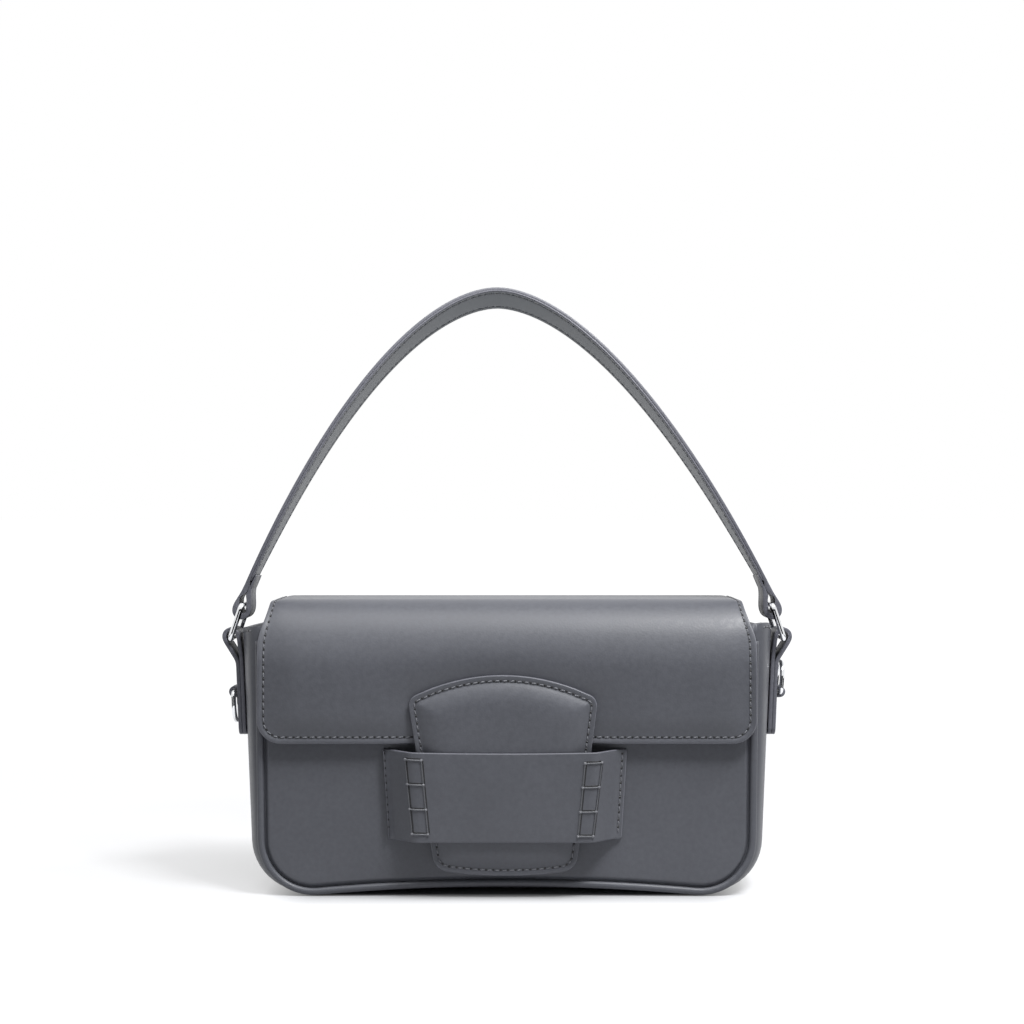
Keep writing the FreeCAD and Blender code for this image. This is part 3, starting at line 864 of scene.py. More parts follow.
def seam_path(share, inset, top, base_rise=0.0):
    half_top = seam_half_width_top + share * gusset_bulge_top
    half_base = seam_half_width_base + share * gusset_bulge_base
    low = seam_lift * (1 - share) + (base_rise - base_flat_depth) * share
    arch = max(seam_least_arch, seam_arch * (1 - share))
    slope = (half_top - half_base) / mouth_height
    lean = math.atan(slope)
    radius = seam_corner_radius
    span = half_base - radius
    base_radius = (span * span + arch * arch) / (2 * arch)
    base_centre = low + arch - base_radius
    centre_x = span
    for _ in range(seam_rounds):
        reach = base_radius + radius
        centre_z = base_centre + math.sqrt(reach * reach - centre_x * centre_x)
        centre_x = half_base + slope * centre_z - radius / math.cos(lean)
    to_base = math.atan2(base_centre - centre_z, -centre_x)
    corner = arc_points((centre_x, centre_z), radius - inset, -lean, to_base, seam_corner_points)
    top_place = np.array([half_base + slope * top - inset / math.cos(lean), top])
    side_shares = np.linspace(0, 1, seam_straight_points)[:-1, None]
    side = top_place + (corner[0] - top_place) * side_shares
    across = np.linspace(corner[-1][0], 0, seam_straight_points)[1:]
    arch_z = base_centre + np.sqrt((base_radius + inset) ** 2 - across ** 2)
    right = np.concatenate([side, corner, np.stack([across, arch_z], axis=1)])
    left = right[:-1][::-1] * np.array([-1, 1])
    return np.concatenate([right, left])[::-1]


# Body


def panel_outline(inset, top):
    path = resampled(seam_path(0.0, inset, top), outline_step)
    end = path[-1]
    start = path[0]
    parts = int(np.linalg.norm(end - start) / outline_step)
    shares = np.linspace(0, 1, parts + 1)[1:-1, None]
    return np.concatenate([path, end + (start - end) * shares])


def panel_crown(points):
    across = 1 - (points[:, 0] / seam_half_width_base) ** 2
    upward = 1 - ((points[:, 1] - panel_crown_middle) / panel_crown_reach) ** 2
    return panel_crown_height * np.clip(across, 0, 1) * np.clip(upward, 0, 1)


def front_place(points, height):
    return upright(points, -(half_depth + height + panel_crown(points)))


def rear_place(points, height):
    return in_space(-points[:, 0], half_depth + height, points[:, 1])


def seam_relief(points, depth):
    return -groove(depth, 0.0, seam_groove_depth, seam_groove_width)


def make_panel(name, node, top, place):
    outline = panel_outline(panel_inset, top)
    piece = sewn_sheet(name, outline, place, panel_thickness, panel_set, seam_relief)
    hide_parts(node)
    return piece


def make_mouth_stitches():
    height = front_mouth_height - mouth_stitch_drop
    line = [(-mouth_stitch_half_length, height), (mouth_stitch_half_length, height)]
    return sewing("front_mouth_stitches", [surface_run(line, front_place)])


def make_piping(name, node, top, depth):
    path = upright(resampled(seam_path(0.0, 0.0, top), piping_step), depth)
    rearward = np.tile([0.0, 1.0, 0.0], (len(path), 1))
    tube = oval_tube(path, rearward, piping_radius, piping_radius, segments=14)
    piece = loft(name, tube, [main_leather])
    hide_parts(node)
    return piece


def band_rows(outer_inset, inner_inset, reach, base_rise, rows):
    outer = []
    inner = []
    for angle in np.linspace(-math.pi / 2, math.pi / 2, rows):
        share = math.cos(angle)
        top = mouth_height - gusset_top_dip * share
        depth = reach * math.sin(angle)
        spread = gusset_hump_front if angle < gusset_hump_angle else gusset_hump_rear
        hump = math.exp(-(((angle - gusset_hump_angle) / spread) ** 2))
        for made, inset in ((outer, outer_inset), (inner, inner_inset)):
            row = upright(seam_path(share, inset, top, base_rise), depth)
            rise = np.where(row[:, 0] > 0, gusset_right_rise, gusset_left_rise)
            near_top = (row[:, 2] - gusset_rise_from) / (mouth_height - gusset_rise_from)
            row[:, 2] += rise * hump * eased(near_top)
            made.append(row)
    return outer, inner


def band_shell(name, outer, inner, material):
    sections = []
    for outside, within in zip(outer, inner):
        on_floor = upright(outside[:, [0, 2]], outside[:, 1])
        on_floor[:, 2] = np.maximum(on_floor[:, 2], 0.0)
        sections.append(np.concatenate([on_floor, within[::-1]]))
    return loft(name, sections, [material])


def soften_edges(piece, width, angle):
    bevel = piece.modifiers.new("soft_edges", "BEVEL")
    bevel.width = width * millimetre
    bevel.segments = 3
    bevel.limit_method = "ANGLE"
    bevel.angle_limit = angle
    bevel.harden_normals = False


def make_gusset():
    outer, inner = band_rows(0.0, gusset_thickness, gusset_half_depth, 0.0, rows=29)
    piece = band_shell("gusset_leather", outer, inner, main_leather)
    soften_edges(piece, gusset_edge_width, gusset_edge_angle)
    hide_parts("gusset")
    runs = []
    for end, near in ((0, 1), (-1, -2)):
        top = np.array([row[end] for row in outer])
        below = np.array([row[near] for row in outer])
        down = unit(below - top)
        line = top + down * gusset_hem_inset
        out = np.cross(np.gradient(line, axis=0), down)
        out *= np.sign(out[:, :1] * line[:, :1])
        runs.append((line[2:-2], unit(out[2:-2])))
    return [piece, sewing("gusset_hem_stitches", runs)]


body_pieces = [
    make_panel("front_panel_leather", "front_panel", front_mouth_height, front_place),
    make_mouth_stitches(),
    make_panel("rear_panel_leather", "rear_panel", mouth_height, rear_place),
    make_piping("front_piping_cord", "front_piping", front_mouth_height, -piping_centre_depth),
    make_piping("rear_piping_cord", "rear_piping", mouth_height, piping_centre_depth),
]
body_pieces += make_gusset()


# Flap


def flap_profile():
    front_centre = (flap_front_fold - flap_outer_depth, flap_top_height - flap_fold_reach)
    rear_centre = (flap_rear_depth - flap_rear_fold, hinge_height)
    front = arc_points((0, 0), 1.0, math.pi, math.pi / 2, count=40)
    front = front_centre + front * np.array([flap_front_fold, flap_fold_reach])
    rear = arc_points(rear_centre, flap_rear_fold, math.pi / 2, 0, count=26)
    foot = [(-flap_outer_depth, flap_lower_edge)]
    tail = [(tail_depth, hinge_height - drop) for drop in (tail_bend_drop, tail_drop)]
    return resampled(np.concatenate([foot, front, rear, tail]), line_step)


profile = flap_profile()
profile_reach = lengths_along(profile)
profile_along = unit(running_mean(np.gradient(profile, axis=0), window=9))
flap_length = float(profile_reach[-1])
hinge_reach = flap_length - tail_drop


def flap_swell(x, y, z, along):
    face = np.stack([x, z], axis=1)
    from_tab = distance_to(closure_outline, face)
    from_tab[inside(closure_outline, face)] = 0
    inward = eased((flap_half_width - np.abs(x)) / flap_swell_side)
    inward = inward * eased(along / flap_swell_foot)
    away = 1 - np.exp(-from_tab / flap_swell_from_tab)
    away = away * (flap_swell_at_edge + (1 - flap_swell_at_edge) * inward)
    swell = flap_swell_height * away * eased((flap_top_height - z) / flap_swell_reach)
    return np.where(y < 0, swell, 0)


def flap_place(points, height):
    x, along = points.T
    y, z = read_off(along, profile_reach, profile)
    ahead_y, ahead_z = read_off(along, profile_reach, profile_along)
    height = height + flap_swell(x, y, z, along)
    fold_share = eased((z - flap_soft_height) / (flap_top_height - flap_soft_height))
    edge_share = eased((np.abs(x) - flap_half_width) / flap_soft_width + 1)
    soft = fold_share * edge_share
    draw = np.where(x < 0, flap_left_draw, -flap_right_draw)
    droop = np.where(x < 0, flap_left_droop, flap_right_droop)
    return in_space(x + draw * soft, y - ahead_z * height, z + ahead_y * height - droop * soft)


def flap_outline(margin, end):
    half = flap_half_width - margin
    radius = flap_corner_radius - margin
    shoulder = hinge_reach - flap_shoulder
    corners = [(-half, margin, radius), (half, margin, radius), (half, shoulder, 0)]
    if end > hinge_reach:
        corners += [
            (tail_half_width, hinge_reach + tail_shoulder, 0),
            (tail_half_width, end, tail_corner_radius),
            (-tail_half_width, end, tail_corner_radius),
            (-tail_half_width, hinge_reach + tail_shoulder, 0),
        ]
    corners.append((-half, shoulder, 0))
    return rounded_outline(corners, outline_step)


def drawn_seam(points, depth):
    height = np.interp(points[:, 1], profile_reach, profile[:, 1])
    on_front = eased((flap_top_height - height) / flap_seam_fade)
    deep = flap_seam_depth_top + (flap_seam_depth_front - flap_seam_depth_top) * on_front
    outside = depth < flap_stitch_inset
    wide = np.where(outside, flap_seam_outer_width, flap_seam_inner_width)
    return -groove(depth, flap_stitch_inset, deep, wide)


def flap_seam_place(points, height):
    sunk = drawn_seam(points, np.full(len(points), flap_stitch_inset))
    return flap_place(points, height + sunk + flap_seam_lift)


def flap_lining_place(points, height):
    return flap_place(points, height - flap_leather)


def make_flap():
    outline = flap_outline(0.0, flap_length)
    piece = sewn_sheet(
        "flap_leather", outline, flap_place, flap_leather, leather_set,
        drawn_seam, spacing=3.0, radius=0.6,
    )
    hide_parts("flap")
    under_outline = flap_outline(flap_lining_margin, hinge_reach - flap_lining_drop)
    under = sewn_sheet(
        "flap_lining_leather", under_outline, flap_lining_place, flap_lining, under_set,
        spacing=4.5, radius=0.4,
    )
    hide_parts("flap_lining")
    seam_end = flap_length - flap_stitch_inset - flap_seam_end_margin
    lines = lines_below(outline, flap_stitch_inset, seam_end)
    tail_x = tail_half_width - tail_stitch_inset
    tail_reach = flap_length - tail_stitch_inset
    lines.append([(tail_x, tail_reach), (-tail_x, tail_reach)])
    seam = sewing("flap_stitches", [surface_run(line, flap_seam_place) for line in lines])
    for made in (piece, under, seam):
        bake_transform(made)


# Closure tab


def bowed_line(centre, half_width, end_height, middle_height, count):
    shares = np.linspace(0, 1, count)
    x = centre + half_width * (2 * shares - 1)
    z = end_height + (middle_height - end_height) * (1 - (2 * shares - 1) ** 2)
    return list(zip(x, z))


def tab_outline():
    foot = bowed_line(
        tab_foot_centre, tab_foot_half_width, tab_foot_height,
        tab_foot_height - tab_foot_sag, count=13,
    )
    head = bowed_line(
        tab_centre, -tab_shoulder_half_width, tab_shoulder_height, tab_apex_height, count=25
    )
    corners = []
    for line, skipped, radius in ((foot, 2, tab_lower_corner), (head, 3, tab_upper_corner)):
        corners.append((*line[0], radius))
        corners += [(x, z, 0.0) for x, z in line[skipped:-skipped]]
        corners.append((*line[-1], radius))
    return rounded_outline(corners, fine_outline_step)


def tab_relief(points, depth):
    inner = np.clip(depth - tab_crown_inset, 0, None)
    rise = tab_crown_height * (1 - np.exp(-((inner / tab_crown_reach) ** tab_crown_power)))
    return rise - groove(depth, tab_groove_inset, tab_groove_depth, tab_groove_width)


def tab_place(points, height):
    return upright(points, -(tab_rim_depth + height))


def tab_backing_place(points, height):
    return upright(points, -(tab_middle_depth + height))


def make_tab():
    piece = sewn_sheet(
        "closure_tab_leather", closure_outline, tab_place, tab_rim_depth - tab_middle_depth,
        leather_set, tab_relief, spacing=2.6,
    )
    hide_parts("closure_tab", "tab_padding")
    backing = sewn_sheet(
        "tab_backing_leather", closure_outline, tab_backing_place,
        tab_middle_depth - tab_back_depth, under_set, spacing=6.0,
    )
    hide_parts("tab_backing")
    line = closed_line(closure_outline, stitch_inset)
    seam = sewing("tab_stitches", [surface_run(line, tab_place, tab_stitch_height)])
    for made in (piece, backing, seam):
        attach(made, "flap")


# Closure band


def band_profile():
    foot = band_flat_half_length + band_ramp_length
    end = foot + band_sewn_length
    depth = half_depth + band_thickness
    front = band_inner_depth + band_thickness
    lean = math.atan2(front - depth, band_ramp_length)
    widen = band_thickness * math.tan(lean / 2)
    reach = band_bend_radius * math.tan(lean / 2)
    crest = np.array([band_flat_half_length + widen, front])
    toe = np.array([foot + widen, depth])
    flat_way = np.array([1.0, 0.0])
    ramp = unit(toe - crest)

    def bend(corner, before, after):
        first = corner - before * reach
        last = corner + after * reach
        shares = np.linspace(0, 1, band_bend_points)[:, None]
        near_corner = 2 * shares * (1 - shares) * corner
        return (1 - shares) ** 2 * first + near_corner + shares ** 2 * last

    right = np.concatenate(
        [bend(crest, flat_way, ramp), bend(toe, ramp, flat_way), [[end, depth]]]
    )
    left = right[::-1] * np.array([-1, 1])
    right[-1, 0] += band_right_margin
    return resampled(np.concatenate([left, right]), band_line_step)


band_line = band_profile()
band_reach = lengths_along(band_line)
band_along = unit(np.gradient(band_line, axis=0))
band_length = float(band_reach[-1])


def band_upper_share(z):
    return (z - band_low) / (band_high - band_low)


def band_bow(x, z):
    upward = 2 * band_upper_share(z) - 1
    across = np.clip(1 - (x / band_flat_half_length) ** 2, 0, 1)
    return band_bow_height * (1 - upward ** 2) * across


def band_narrowing(z):
    return 1 - band_end_taper * (1 - band_upper_share(z))


def band_place(points, height):
    reach, z = points.T
    x, depth = read_off(reach, band_reach, band_line)
    ahead_x, ahead_depth = read_off(reach, band_reach, band_along)
    height = height + band_bow(x, z)
    sag = band_sag * band_upper_share(z) * np.clip(1 - (x / band_line[-1, 0]) ** 2, 0, 1)
    across = (x - ahead_depth * height) * band_narrowing(z) + closure_centre
    return in_space(across, -(depth + ahead_x * height), z - sag)


def make_band():
    corners = ((0, band_low), (band_length, band_low), (band_length, band_high), (0, band_high))
    outline = rounded_outline(
        [(*corner, band_corner_radius) for corner in corners], fine_outline_step
    )
    piece = sewn_sheet(
        "closure_band_leather", outline, band_place, band_thickness, leather_set, spacing=2.4
    )
    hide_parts("closure_band")
    made = [piece]
    for name, reach, material in (
        # The left end's stitches take the darker thread as painted shade; the right end's keep the
        # plain thread.
        ("band_left_stitches", band_left_stitch_inset, painted_shade_thread),
        ("band_right_stitches", band_length - band_right_stitch_inset, sewing_thread),
    ):
        line = [(reach, band_low + band_stitch_margin), (reach, band_high - band_stitch_margin)]
        made.append(sewing(name, [surface_run(line, band_place)], material))
    return made


def strand_on_band(ends, height):
    x, z = resampled(ends, strand_step).T
    reach = np.interp((x - closure_centre) / band_narrowing(z), band_line[:, 0], band_reach)
    return on_surface(np.stack([reach, z], axis=1), band_place, height)


def strand_block(ends, height, half_width, half_height, slot):
    points, normals = strand_on_band(ends, height)
    tube = oval_tube(points, normals, half_width, half_height, segments=10)
    return tube.reshape(-1, 3), tube_faces(*tube.shape[:2]), slot


def knot_row(end):
    points, normals = strand_on_band([end, end], ladder_knot_height)
    upward = np.array([0.0, 0.0, 1.0])
    axes = np.stack([np.cross(upward, normals[0]), upward, normals[0]])
    return points[0], axes, ladder_knot_radius * np.array([1, 1, ladder_flattening])


def make_ladder(name, ends):
    upper, lower = np.array(ends)
    rungs = []
    for share in np.linspace(0, 1, ladder_rung_count):
        left, right, height = upper + (lower - upper) * share
        rungs.append(((left, height), (right, height)))
    strands = [(rung, rung_slot, (0.0, ladder_shade_strip_shift)) for rung in rungs]
    for above, below in zip(rungs[:-1], rungs[1:]):
        strands += [(pair, strand_slot, (ladder_shade_strip_shift, 0.0)) for pair in zip(above, below)]
    blocks = []
    half_height = ladder_thread_radius * ladder_flattening
    for pair, slot, shift in strands:
        shade_strip = np.array(pair) + shift
        blocks += [
            strand_block(pair, ladder_thread_height, ladder_thread_radius, half_height, slot),
            # The strip under each thread is painted shade for its groove.
            strand_block(shade_strip, 0.0, ladder_shade_strip_half_width, ladder_shade_strip_half_height, shade_strip_slot),
        ]
    knots = [knot_row(end) for rung in rungs for end in rung]
    blocks.append(beads(knots, stitch_shape, knot_slot))
    return add_blocks(name, blocks, ladder_set)


closure_outline = tab_outline()
make_flap()
make_tab()
body_pieces += make_band()
body_pieces.append(make_ladder("left_ladder_stitch", left_ladder))
body_pieces.append(make_ladder("right_ladder_stitch", right_ladder))


# Side tabs and keepers


def gusset_side(height):
    half_top = seam_half_width_top + gusset_bulge_top
    half_base = seam_half_width_base + gusset_bulge_base
    return half_base + (half_top - half_base) * height / mouth_height


def loop_path(big, big_radius, small, small_radius, count):
    along = np.subtract(small, big)
    heading = math.atan2(along[1], along[0])
    opening = math.acos((big_radius - small_radius) / np.linalg.norm(along))
    start = heading + opening
    end = heading - opening
    arc = arc_points(big, big_radius, start, end + 2 * math.pi, count)
    left, right = arc_points(small, small_radius, start, end, 2)
    return np.concatenate([[left], arc, [right]])


def side_tab_path():
    half = side_tab_thickness / 2
    throat_x = gusset_side(side_tab_throat_height) + side_tab_gap + side_tab_thickness
    loop_x = gusset_side(side_tab_loop_height) + side_tab_loop_offset
    loop = loop_path(
        (loop_x, side_tab_loop_height), side_tab_loop_radius - half,
        (throat_x, side_tab_throat_height), half, count=33,
    )
    if loop[0][0] > loop[-1][0]:
        loop = loop[::-1]
    low_x = gusset_side(side_tab_low) + side_tab_gap
    inner_low = (low_x + half, side_tab_low)
    outer_low = (low_x + 3 * half, side_tab_low)
    path = resampled(np.concatenate([[inner_low], loop, [outer_low]]), loop_step)
    return smoothed(path, side_tab_smoothing)


def keeper_path():
    radius = keeper_bore + keeper_thickness / 2
    root = gusset_side(d_ring_z) + side_tab_gap + 2 * side_tab_thickness + keeper_gap
    arc = arc_points((d_ring_x, d_ring_z), radius, -math.pi / 2, math.pi / 2, count=15)
    ends = [[(root, d_ring_z + way * radius)] for way in (-1, 1)]
    return resampled(np.concatenate([ends[0], arc, ends[1]]), line_step)


def make_pair(kind, path, width, thickness, end_radius, groove_deep):
    pieces = []
    mirrored = path[::-1] * np.array([-1, 1])
    for side, line in (("right", path), ("left", mirrored)):
        name = f"{side}_{kind}_leather"
        piece = flat_ribbon(name, line, width, thickness, end_radius, groove_deep)
        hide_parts(f"{kind}_{side}")
        pieces.append(piece)
    return pieces


body_pieces += make_pair(
    "side_tab", side_tab_path(), side_tab_width, side_tab_thickness,
    side_tab_end_radius, side_tab_groove,
)
body_pieces += make_pair(
    "keeper", keeper_path(), keeper_width, keeper_thickness, keeper_end_radius, groove_deep=0.0
)


# Handle

ring_bar = np.array([ring_upper_x, ring_upper_z])
throat = np.array([ring_upper_x - handle_loop_lean_in, strap_neck_height])
loop_axis = unit(throat - ring_bar)
loop_across = np.array([loop_axis[1], -loop_axis[0]])
neck_half_width = throat[0] + neck_thickness / 2
strap_apex_height = strap_neck_height + strap_rise
strap_factor = strap_rise / neck_half_width ** strap_curve_power


def strap_half_width_at(height):
    return ((strap_apex_height - height) / strap_factor) ** (1 / strap_curve_power)


def strap_edge(x):
    height = strap_apex_height - strap_factor * abs(x) ** strap_curve_power
    share = max(0.0, (height - strap_neck_height) / strap_rise)
    tilt = share ** strap_tilt_power * strap_apex_tilt
    lean = strap_apex_lean * share ** 2
    widening = 1 - max(0.0, 1 - share / strap_widening_share) ** 2
    width = strap_end_width + (strap_width - strap_end_width) * widening
    back = unit(np.array([0.0, 1.0, -tilt]))
    front = np.array([x + strap_apex_shift * share, lean - back[1] * width / 2, height])
    return front, back, width


def strap_frame(x):
    front, back, width = strap_edge(x)
    before, after = (strap_edge(x + way * arch_tangent_step)[0] for way in (-1, 1))
    along = unit(after - before)
    outward = unit(np.cross(along, back))
    return front + back * width / 2, back, outward, width


def arch_run(start, end, depth, step):
    trial = np.linspace(start, end, arch_trial_points)
    reach = lengths_along(np.array([strap_frame(x)[0] for x in trial]))
    count = int(reach[-1] / step) + 1
    stations = np.interp(np.linspace(0, reach[-1], count), reach, trial)
    rows = zip(*[strap_frame(x) for x in stations])
    middles, sides, normals, widths = [np.array(row) for row in rows]
    return middles - normals * depth, sides, normals, widths


def loop_outside():
    foot = ring_bar - loop_axis * handle_loop_drop
    loop = loop_path(foot, handle_loop_radius, throat, neck_thickness / 2, count=41)
    if loop[0][0] < loop[-1][0]:
        loop = loop[::-1]
    loop = resampled(loop, loop_step)
    along = (loop - foot) @ loop_axis
    aside = (loop - foot) @ loop_across
    share = np.clip(along / np.linalg.norm(throat - foot), 0, 1)
    narrowing = neck_thickness / 2 - handle_loop_radius
    straight = handle_loop_radius + narrowing * share
    pinched = handle_loop_radius + narrowing * eased(share)
    aside = aside * pinched / straight
    return upright(foot + np.outer(along, loop_axis) + np.outer(aside, loop_across), 0.0)


def loop_thickness_at(loop):
    apart = loop[:, [0, 2]] - ring_bar
    along = apart @ loop_axis
    aside = apart @ loop_across
    in_slot = np.clip(apart[:, 1], -handle_slot_half_length, handle_slot_half_length)
    to_slot = np.hypot(apart[:, 0], apart[:, 1] - in_slot)
    slot_top = handle_slot_half_length + handle_slot_half_width
    pinch = eased((along - slot_top) / (np.linalg.norm(throat - ring_bar) - slot_top))
    offset = strap_layer + strap_lining - neck_thickness / 2
    to_middle = np.abs(aside) + np.sign(aside) * offset * pinch
    to_middle = np.where(along > 0, to_middle, np.inf)
    return np.minimum(to_slot - handle_slot_half_width, to_middle - handle_fold_gap)


def strap_thickness_at(height):
    thin = eased((height - strap_neck_height) / strap_lining_start)
    return strap_layer + strap_lining * (1 - thin)


def strap_end():
    loop = loop_outside()[1:]
    loop_rows = (
        loop,
        np.tile([0.0, 1.0, 0.0], (len(loop), 1)),
        np.full(len(loop), strap_end_width),
        loop_thickness_at(loop),
    )
    fold_top = strap_half_width_at(strap_neck_height + strap_fold_back)
    middles, sides, normals, widths = arch_run(neck_half_width, fold_top, 0.0, loop_step)
    shares = np.linspace(0, 1, len(middles))
    sewn_on = strap_layer + strap_lining + strap_glue_gap
    depths = neck_thickness + (sewn_on + strap_skived - neck_thickness) * shares
    fold_rows = (middles - normals * depths[:, None], sides, widths, depths - sewn_on)
    return [np.concatenate([near, far[1:]]) for near, far in zip(loop_rows, fold_rows)]


def make_strap():
    outside, sides, _, widths = arch_run(-neck_half_width, neck_half_width, 0.0, strap_step)
    arch = (outside, sides, widths, strap_thickness_at(outside[:, 2]))
    right = strap_end()
    left = [row[::-1] for row in right]
    left[0] = left[0] * np.array([-1, 1, 1])
    path, sides, widths, thicknesses = [np.concatenate(row) for row in zip(left, arch, right)]
    path = smoothed(path, strap_smoothing)
    normals = unit(np.cross(unit(np.gradient(path, axis=0)), sides))
    piece = ribbon(
        "handle_strap_leather", path - normals * thicknesses[:, None] / 2, sides, normals,
        widths, thicknesses, leather_set, strap_groove,
    )
    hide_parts("handle_strap")
    return piece


def make_strap_lining():
    start = strap_half_width_at(strap_neck_height + strap_lining_start)
    depth = strap_layer + strap_glue_gap + strap_lining / 2
    path, sides, normals, widths = arch_run(-start, start, depth, strap_step)
    piece = ribbon(
        "handle_lining_leather", path[::-1], sides[::-1], -normals[::-1], widths,
        strap_lining, strap_lining_set, strap_groove,
    )
    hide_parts("handle_lining")
    return piece


def make_strap_stitches():
    outer_end = neck_half_width - strap_stitch_margin
    under_end = strap_half_width_at(strap_neck_height + strap_fold_back) - strap_stitch_margin
    under_depth = strap_layer + strap_lining - strap_under_stitch_depth
    outer = arch_run(-outer_end, outer_end, strap_outer_stitch_depth, strap_stitch_step)
    under = arch_run(-under_end, under_end, under_depth, strap_stitch_step)
    runs = []
    for side in (-1, 1):
        for (path, sides, normals, widths), facing in ((outer, 1), (under, -1)):
            inset = (widths / 2 - stitch_inset) * side
            runs.append((path + sides * inset[:, None], normals * facing))
    return sewing("handle_stitches", runs)


for piece in (make_strap(), make_strap_lining(), make_strap_stitches()):
    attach(piece, "handle")


# Inside of the bag


def front_inner_place(points, height):
    return in_space(-points[:, 0], height - lining_inner_depth, points[:, 1])


def rear_inner_place(points, height):
    return upright(points, lining_inner_depth - height)


def pocket_place(points, height):
    return rear_inner_place(points, height + lining_thickness + pocket_gap)


def make_panel_lining(name, node, top, place):
    outline = panel_outline(lining_inset, top)
    piece = sewn_sheet(
        name, outline, place, lining_thickness, cloth_set, spacing=8.0, radius=0.25
    )
    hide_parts(node)
    return piece


def make_gusset_lining():
    outer, inner = band_rows(
        lining_inset, lining_inset + lining_thickness, lining_inner_depth, lining_base_rise,
        rows=17,
    )
    piece = band_shell("gusset_lining_cloth", outer, inner, lining_cloth)
    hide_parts("lining_gusset")
    return piece


def make_pocket():
    corners = [
        (-pocket_half_width, pocket_low, pocket_lower_corner),
        (pocket_half_width, pocket_low, pocket_lower_corner),
        (pocket_half_width, pocket_high, pocket_upper_corner),
        (-pocket_half_width, pocket_high, pocket_upper_corner),
    ]
    outline = rounded_outline(corners, outline_step)
    pocket = sewn_sheet(
        "slip_pocket_cloth", outline, pocket_place, lining_thickness, cloth_set,
        spacing=6.0, radius=0.25,
    )
    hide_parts("slip_pocket")
    lines = lines_below(outline, pocket_stitch_inset, pocket_high - pocket_stitch_drop)
    hem = sewing("pocket_stitches", [surface_run(line, pocket_place) for line in lines])
    return [pocket, hem]


body_pieces += [
    make_panel_lining("front_lining_cloth", "lining_front", front_mouth_height, front_inner_place),
    make_panel_lining("rear_lining_cloth", "lining_rear", mouth_height, rear_inner_place),
    make_gusset_lining(),
]
body_pieces += make_pocket()
for piece in body_pieces:
    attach(piece, "body")


# Pieces that stay as the solids are

for material, nodes in (
    (polished_metal, ("ring_left", "ring_right", "d_ring_left", "d_ring_right")),
    (grey_board, ("front_stiffener", "rear_stiffener", "base_board")),
):
    for node in nodes:
        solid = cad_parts[node]
        solid.data.materials.clear()
        solid.data.materials.append(material)


# Floor, background, lamps and camera


def camera_ray_share(tree):
    rays = add_node(tree, "LightPath")
    share = rays["Is Camera Ray"]
    for kind in ("Is Glossy Ray", "Is Transmission Ray"):
        share = add_node(tree, "Math", {0: share, 1: rays[kind]}, operation="MAXIMUM")[0]
    return share


def floor_material():
    material = bpy.data.materials.new("pale_floor")
    material.use_nodes = True
    tree = material.node_tree
    tree.nodes.clear()
    away = add_node(tree, "NewGeometry")["Position"]
    for operation, values in (
        ("ABSOLUTE", {}),
        ("SUBTRACT", {1: painted_shadow_footprint}),
        ("MAXIMUM", {1: (0, 0, 0)}),
    ):
        away = add_node(tree, "VectorMath", {0: away}, values, operation=operation)["Vector"]
    away = add_node(tree, "VectorMath", {0: away}, operation="LENGTH")["Value"]
    glow_share = camera_ray_share(tree)
    # The first fade paints a contact shadow around the bag; the second keeps the far floor evenly
    # white.
    for near, far, low, high in floor_fades:
        fade = map_range(tree, away, near, far, low, high)
        glow_share = add_node(tree, "Math", {0: glow_share, 1: fade}, operation="MULTIPLY")[0]
    matt = add_node(tree, "BsdfDiffuse", values={"Color": floor_colour})
    glow = add_node(tree, "Emission", {"Strength": glow_share})
    both = add_node(tree, "AddShader", {0: matt[0], 1: glow[0]})
    add_node(tree, "OutputMaterial", {"Surface": both[0]})
    return material


def card_material():
    material = bpy.data.materials.new("dark_card")
    material.use_nodes = True
    surface = material.node_tree.nodes["Principled BSDF"]
    surface.inputs["Base Color"].default_value = card_colour
    surface.inputs["Roughness"].default_value = card_roughness
    return material


def add_stage_sheet(name, corners, material):
    mesh = bpy.data.meshes.new(name)
    mesh.from_pydata(corners, [], [(0, 1, 2, 3)])
    mesh.materials.append(material)
    sheet = bpy.data.objects.new(name, mesh)
    bpy.context.scene.collection.objects.link(sheet)
    return sheet


def make_floor():
    reach = floor_reach
    corners = [(-reach, -reach, 0), (reach, -reach, 0), (reach, reach, 0), (-reach, reach, 0)]
    add_stage_sheet("floor", corners, floor_material())


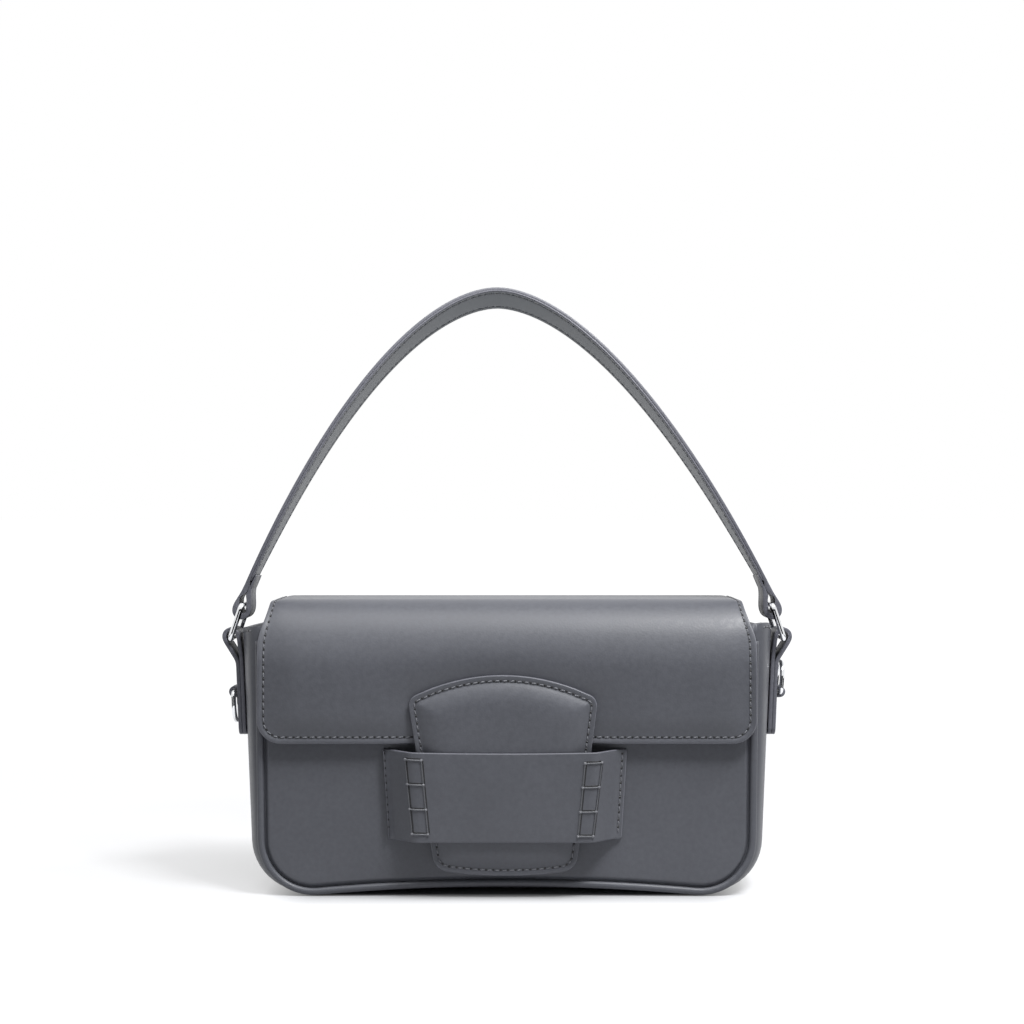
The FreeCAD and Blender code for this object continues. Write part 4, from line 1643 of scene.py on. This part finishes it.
def make_dark_cards():
    material = card_material()
    for name, start, end, top in (
        ("front_dark_card", (-1.6, -1.9), (1.6, -1.9), 0.75),
        ("low_dark_card", (-0.45, -0.62), (0.45, -0.62), 0.14),
        ("left_dark_card", (-0.5, -0.5), (-0.5, 0.2), 0.09),
        ("right_dark_card", (0.5, -0.5), (0.5, 0.2), 0.09),
    ):
        corners = [(*start, card_low), (*end, card_low), (*end, top), (*start, top)]
        card = add_stage_sheet(name, corners, material)
        card.visible_camera = False
        card.visible_diffuse = False
        card.visible_shadow = False


def make_world():
    world = bpy.data.worlds.new("studio")
    bpy.context.scene.world = world
    world.use_nodes = True
    tree = world.node_tree
    tree.nodes.clear()
    soft = add_node(
        tree, "Background", values={"Color": world_colour, "Strength": world_strength}
    )
    seen = add_node(tree, "Background", values={"Color": (1, 1, 1, 1)})
    mixed = add_node(
        tree, "MixShader", {"Fac": camera_ray_share(tree), 1: soft[0], 2: seen[0]}
    )
    add_node(tree, "OutputWorld", {"Surface": mixed[0]})


def add_softbox(name, place, target, size, power):
    lamp = bpy.data.lights.new(name, "AREA")
    lamp.shape = "RECTANGLE"
    lamp.size, lamp.size_y = size
    lamp.energy = power
    softbox = bpy.data.objects.new(name, lamp)
    softbox.location = place
    way = Vector(target) - Vector(place)
    softbox.rotation_euler = way.to_track_quat("-Z", "Y").to_euler()
    bpy.context.scene.collection.objects.link(softbox)


def make_camera():
    data = bpy.data.cameras.new("camera")
    data.sensor_width = 36
    data.lens = focal_pixels / frame_pixels * data.sensor_width
    data.clip_start = 0.01
    data.clip_end = 200
    camera = bpy.data.objects.new("camera", data)
    camera.location = camera_place
    camera.rotation_euler = (math.pi / 2, 0, 0)
    bpy.context.scene.collection.objects.link(camera)
    bpy.context.scene.camera = camera


make_floor()
make_world()
make_dark_cards()
add_softbox("side_key", (0.85, -0.28, 1.35), target=(0, 0, 0.08), size=(0.25, 0.25), power=6)
add_softbox("front_box", (0.45, -0.55, 1.25), target=(0.05, 0, 0.1), size=(0.3, 0.3), power=11.6)
add_softbox("top_box", (0.0, -0.38, 1.3), target=(0, 0, 0.1), size=(1.1, 0.7), power=9)
make_camera()
bpy.context.scene.view_settings.view_transform = "Standard"
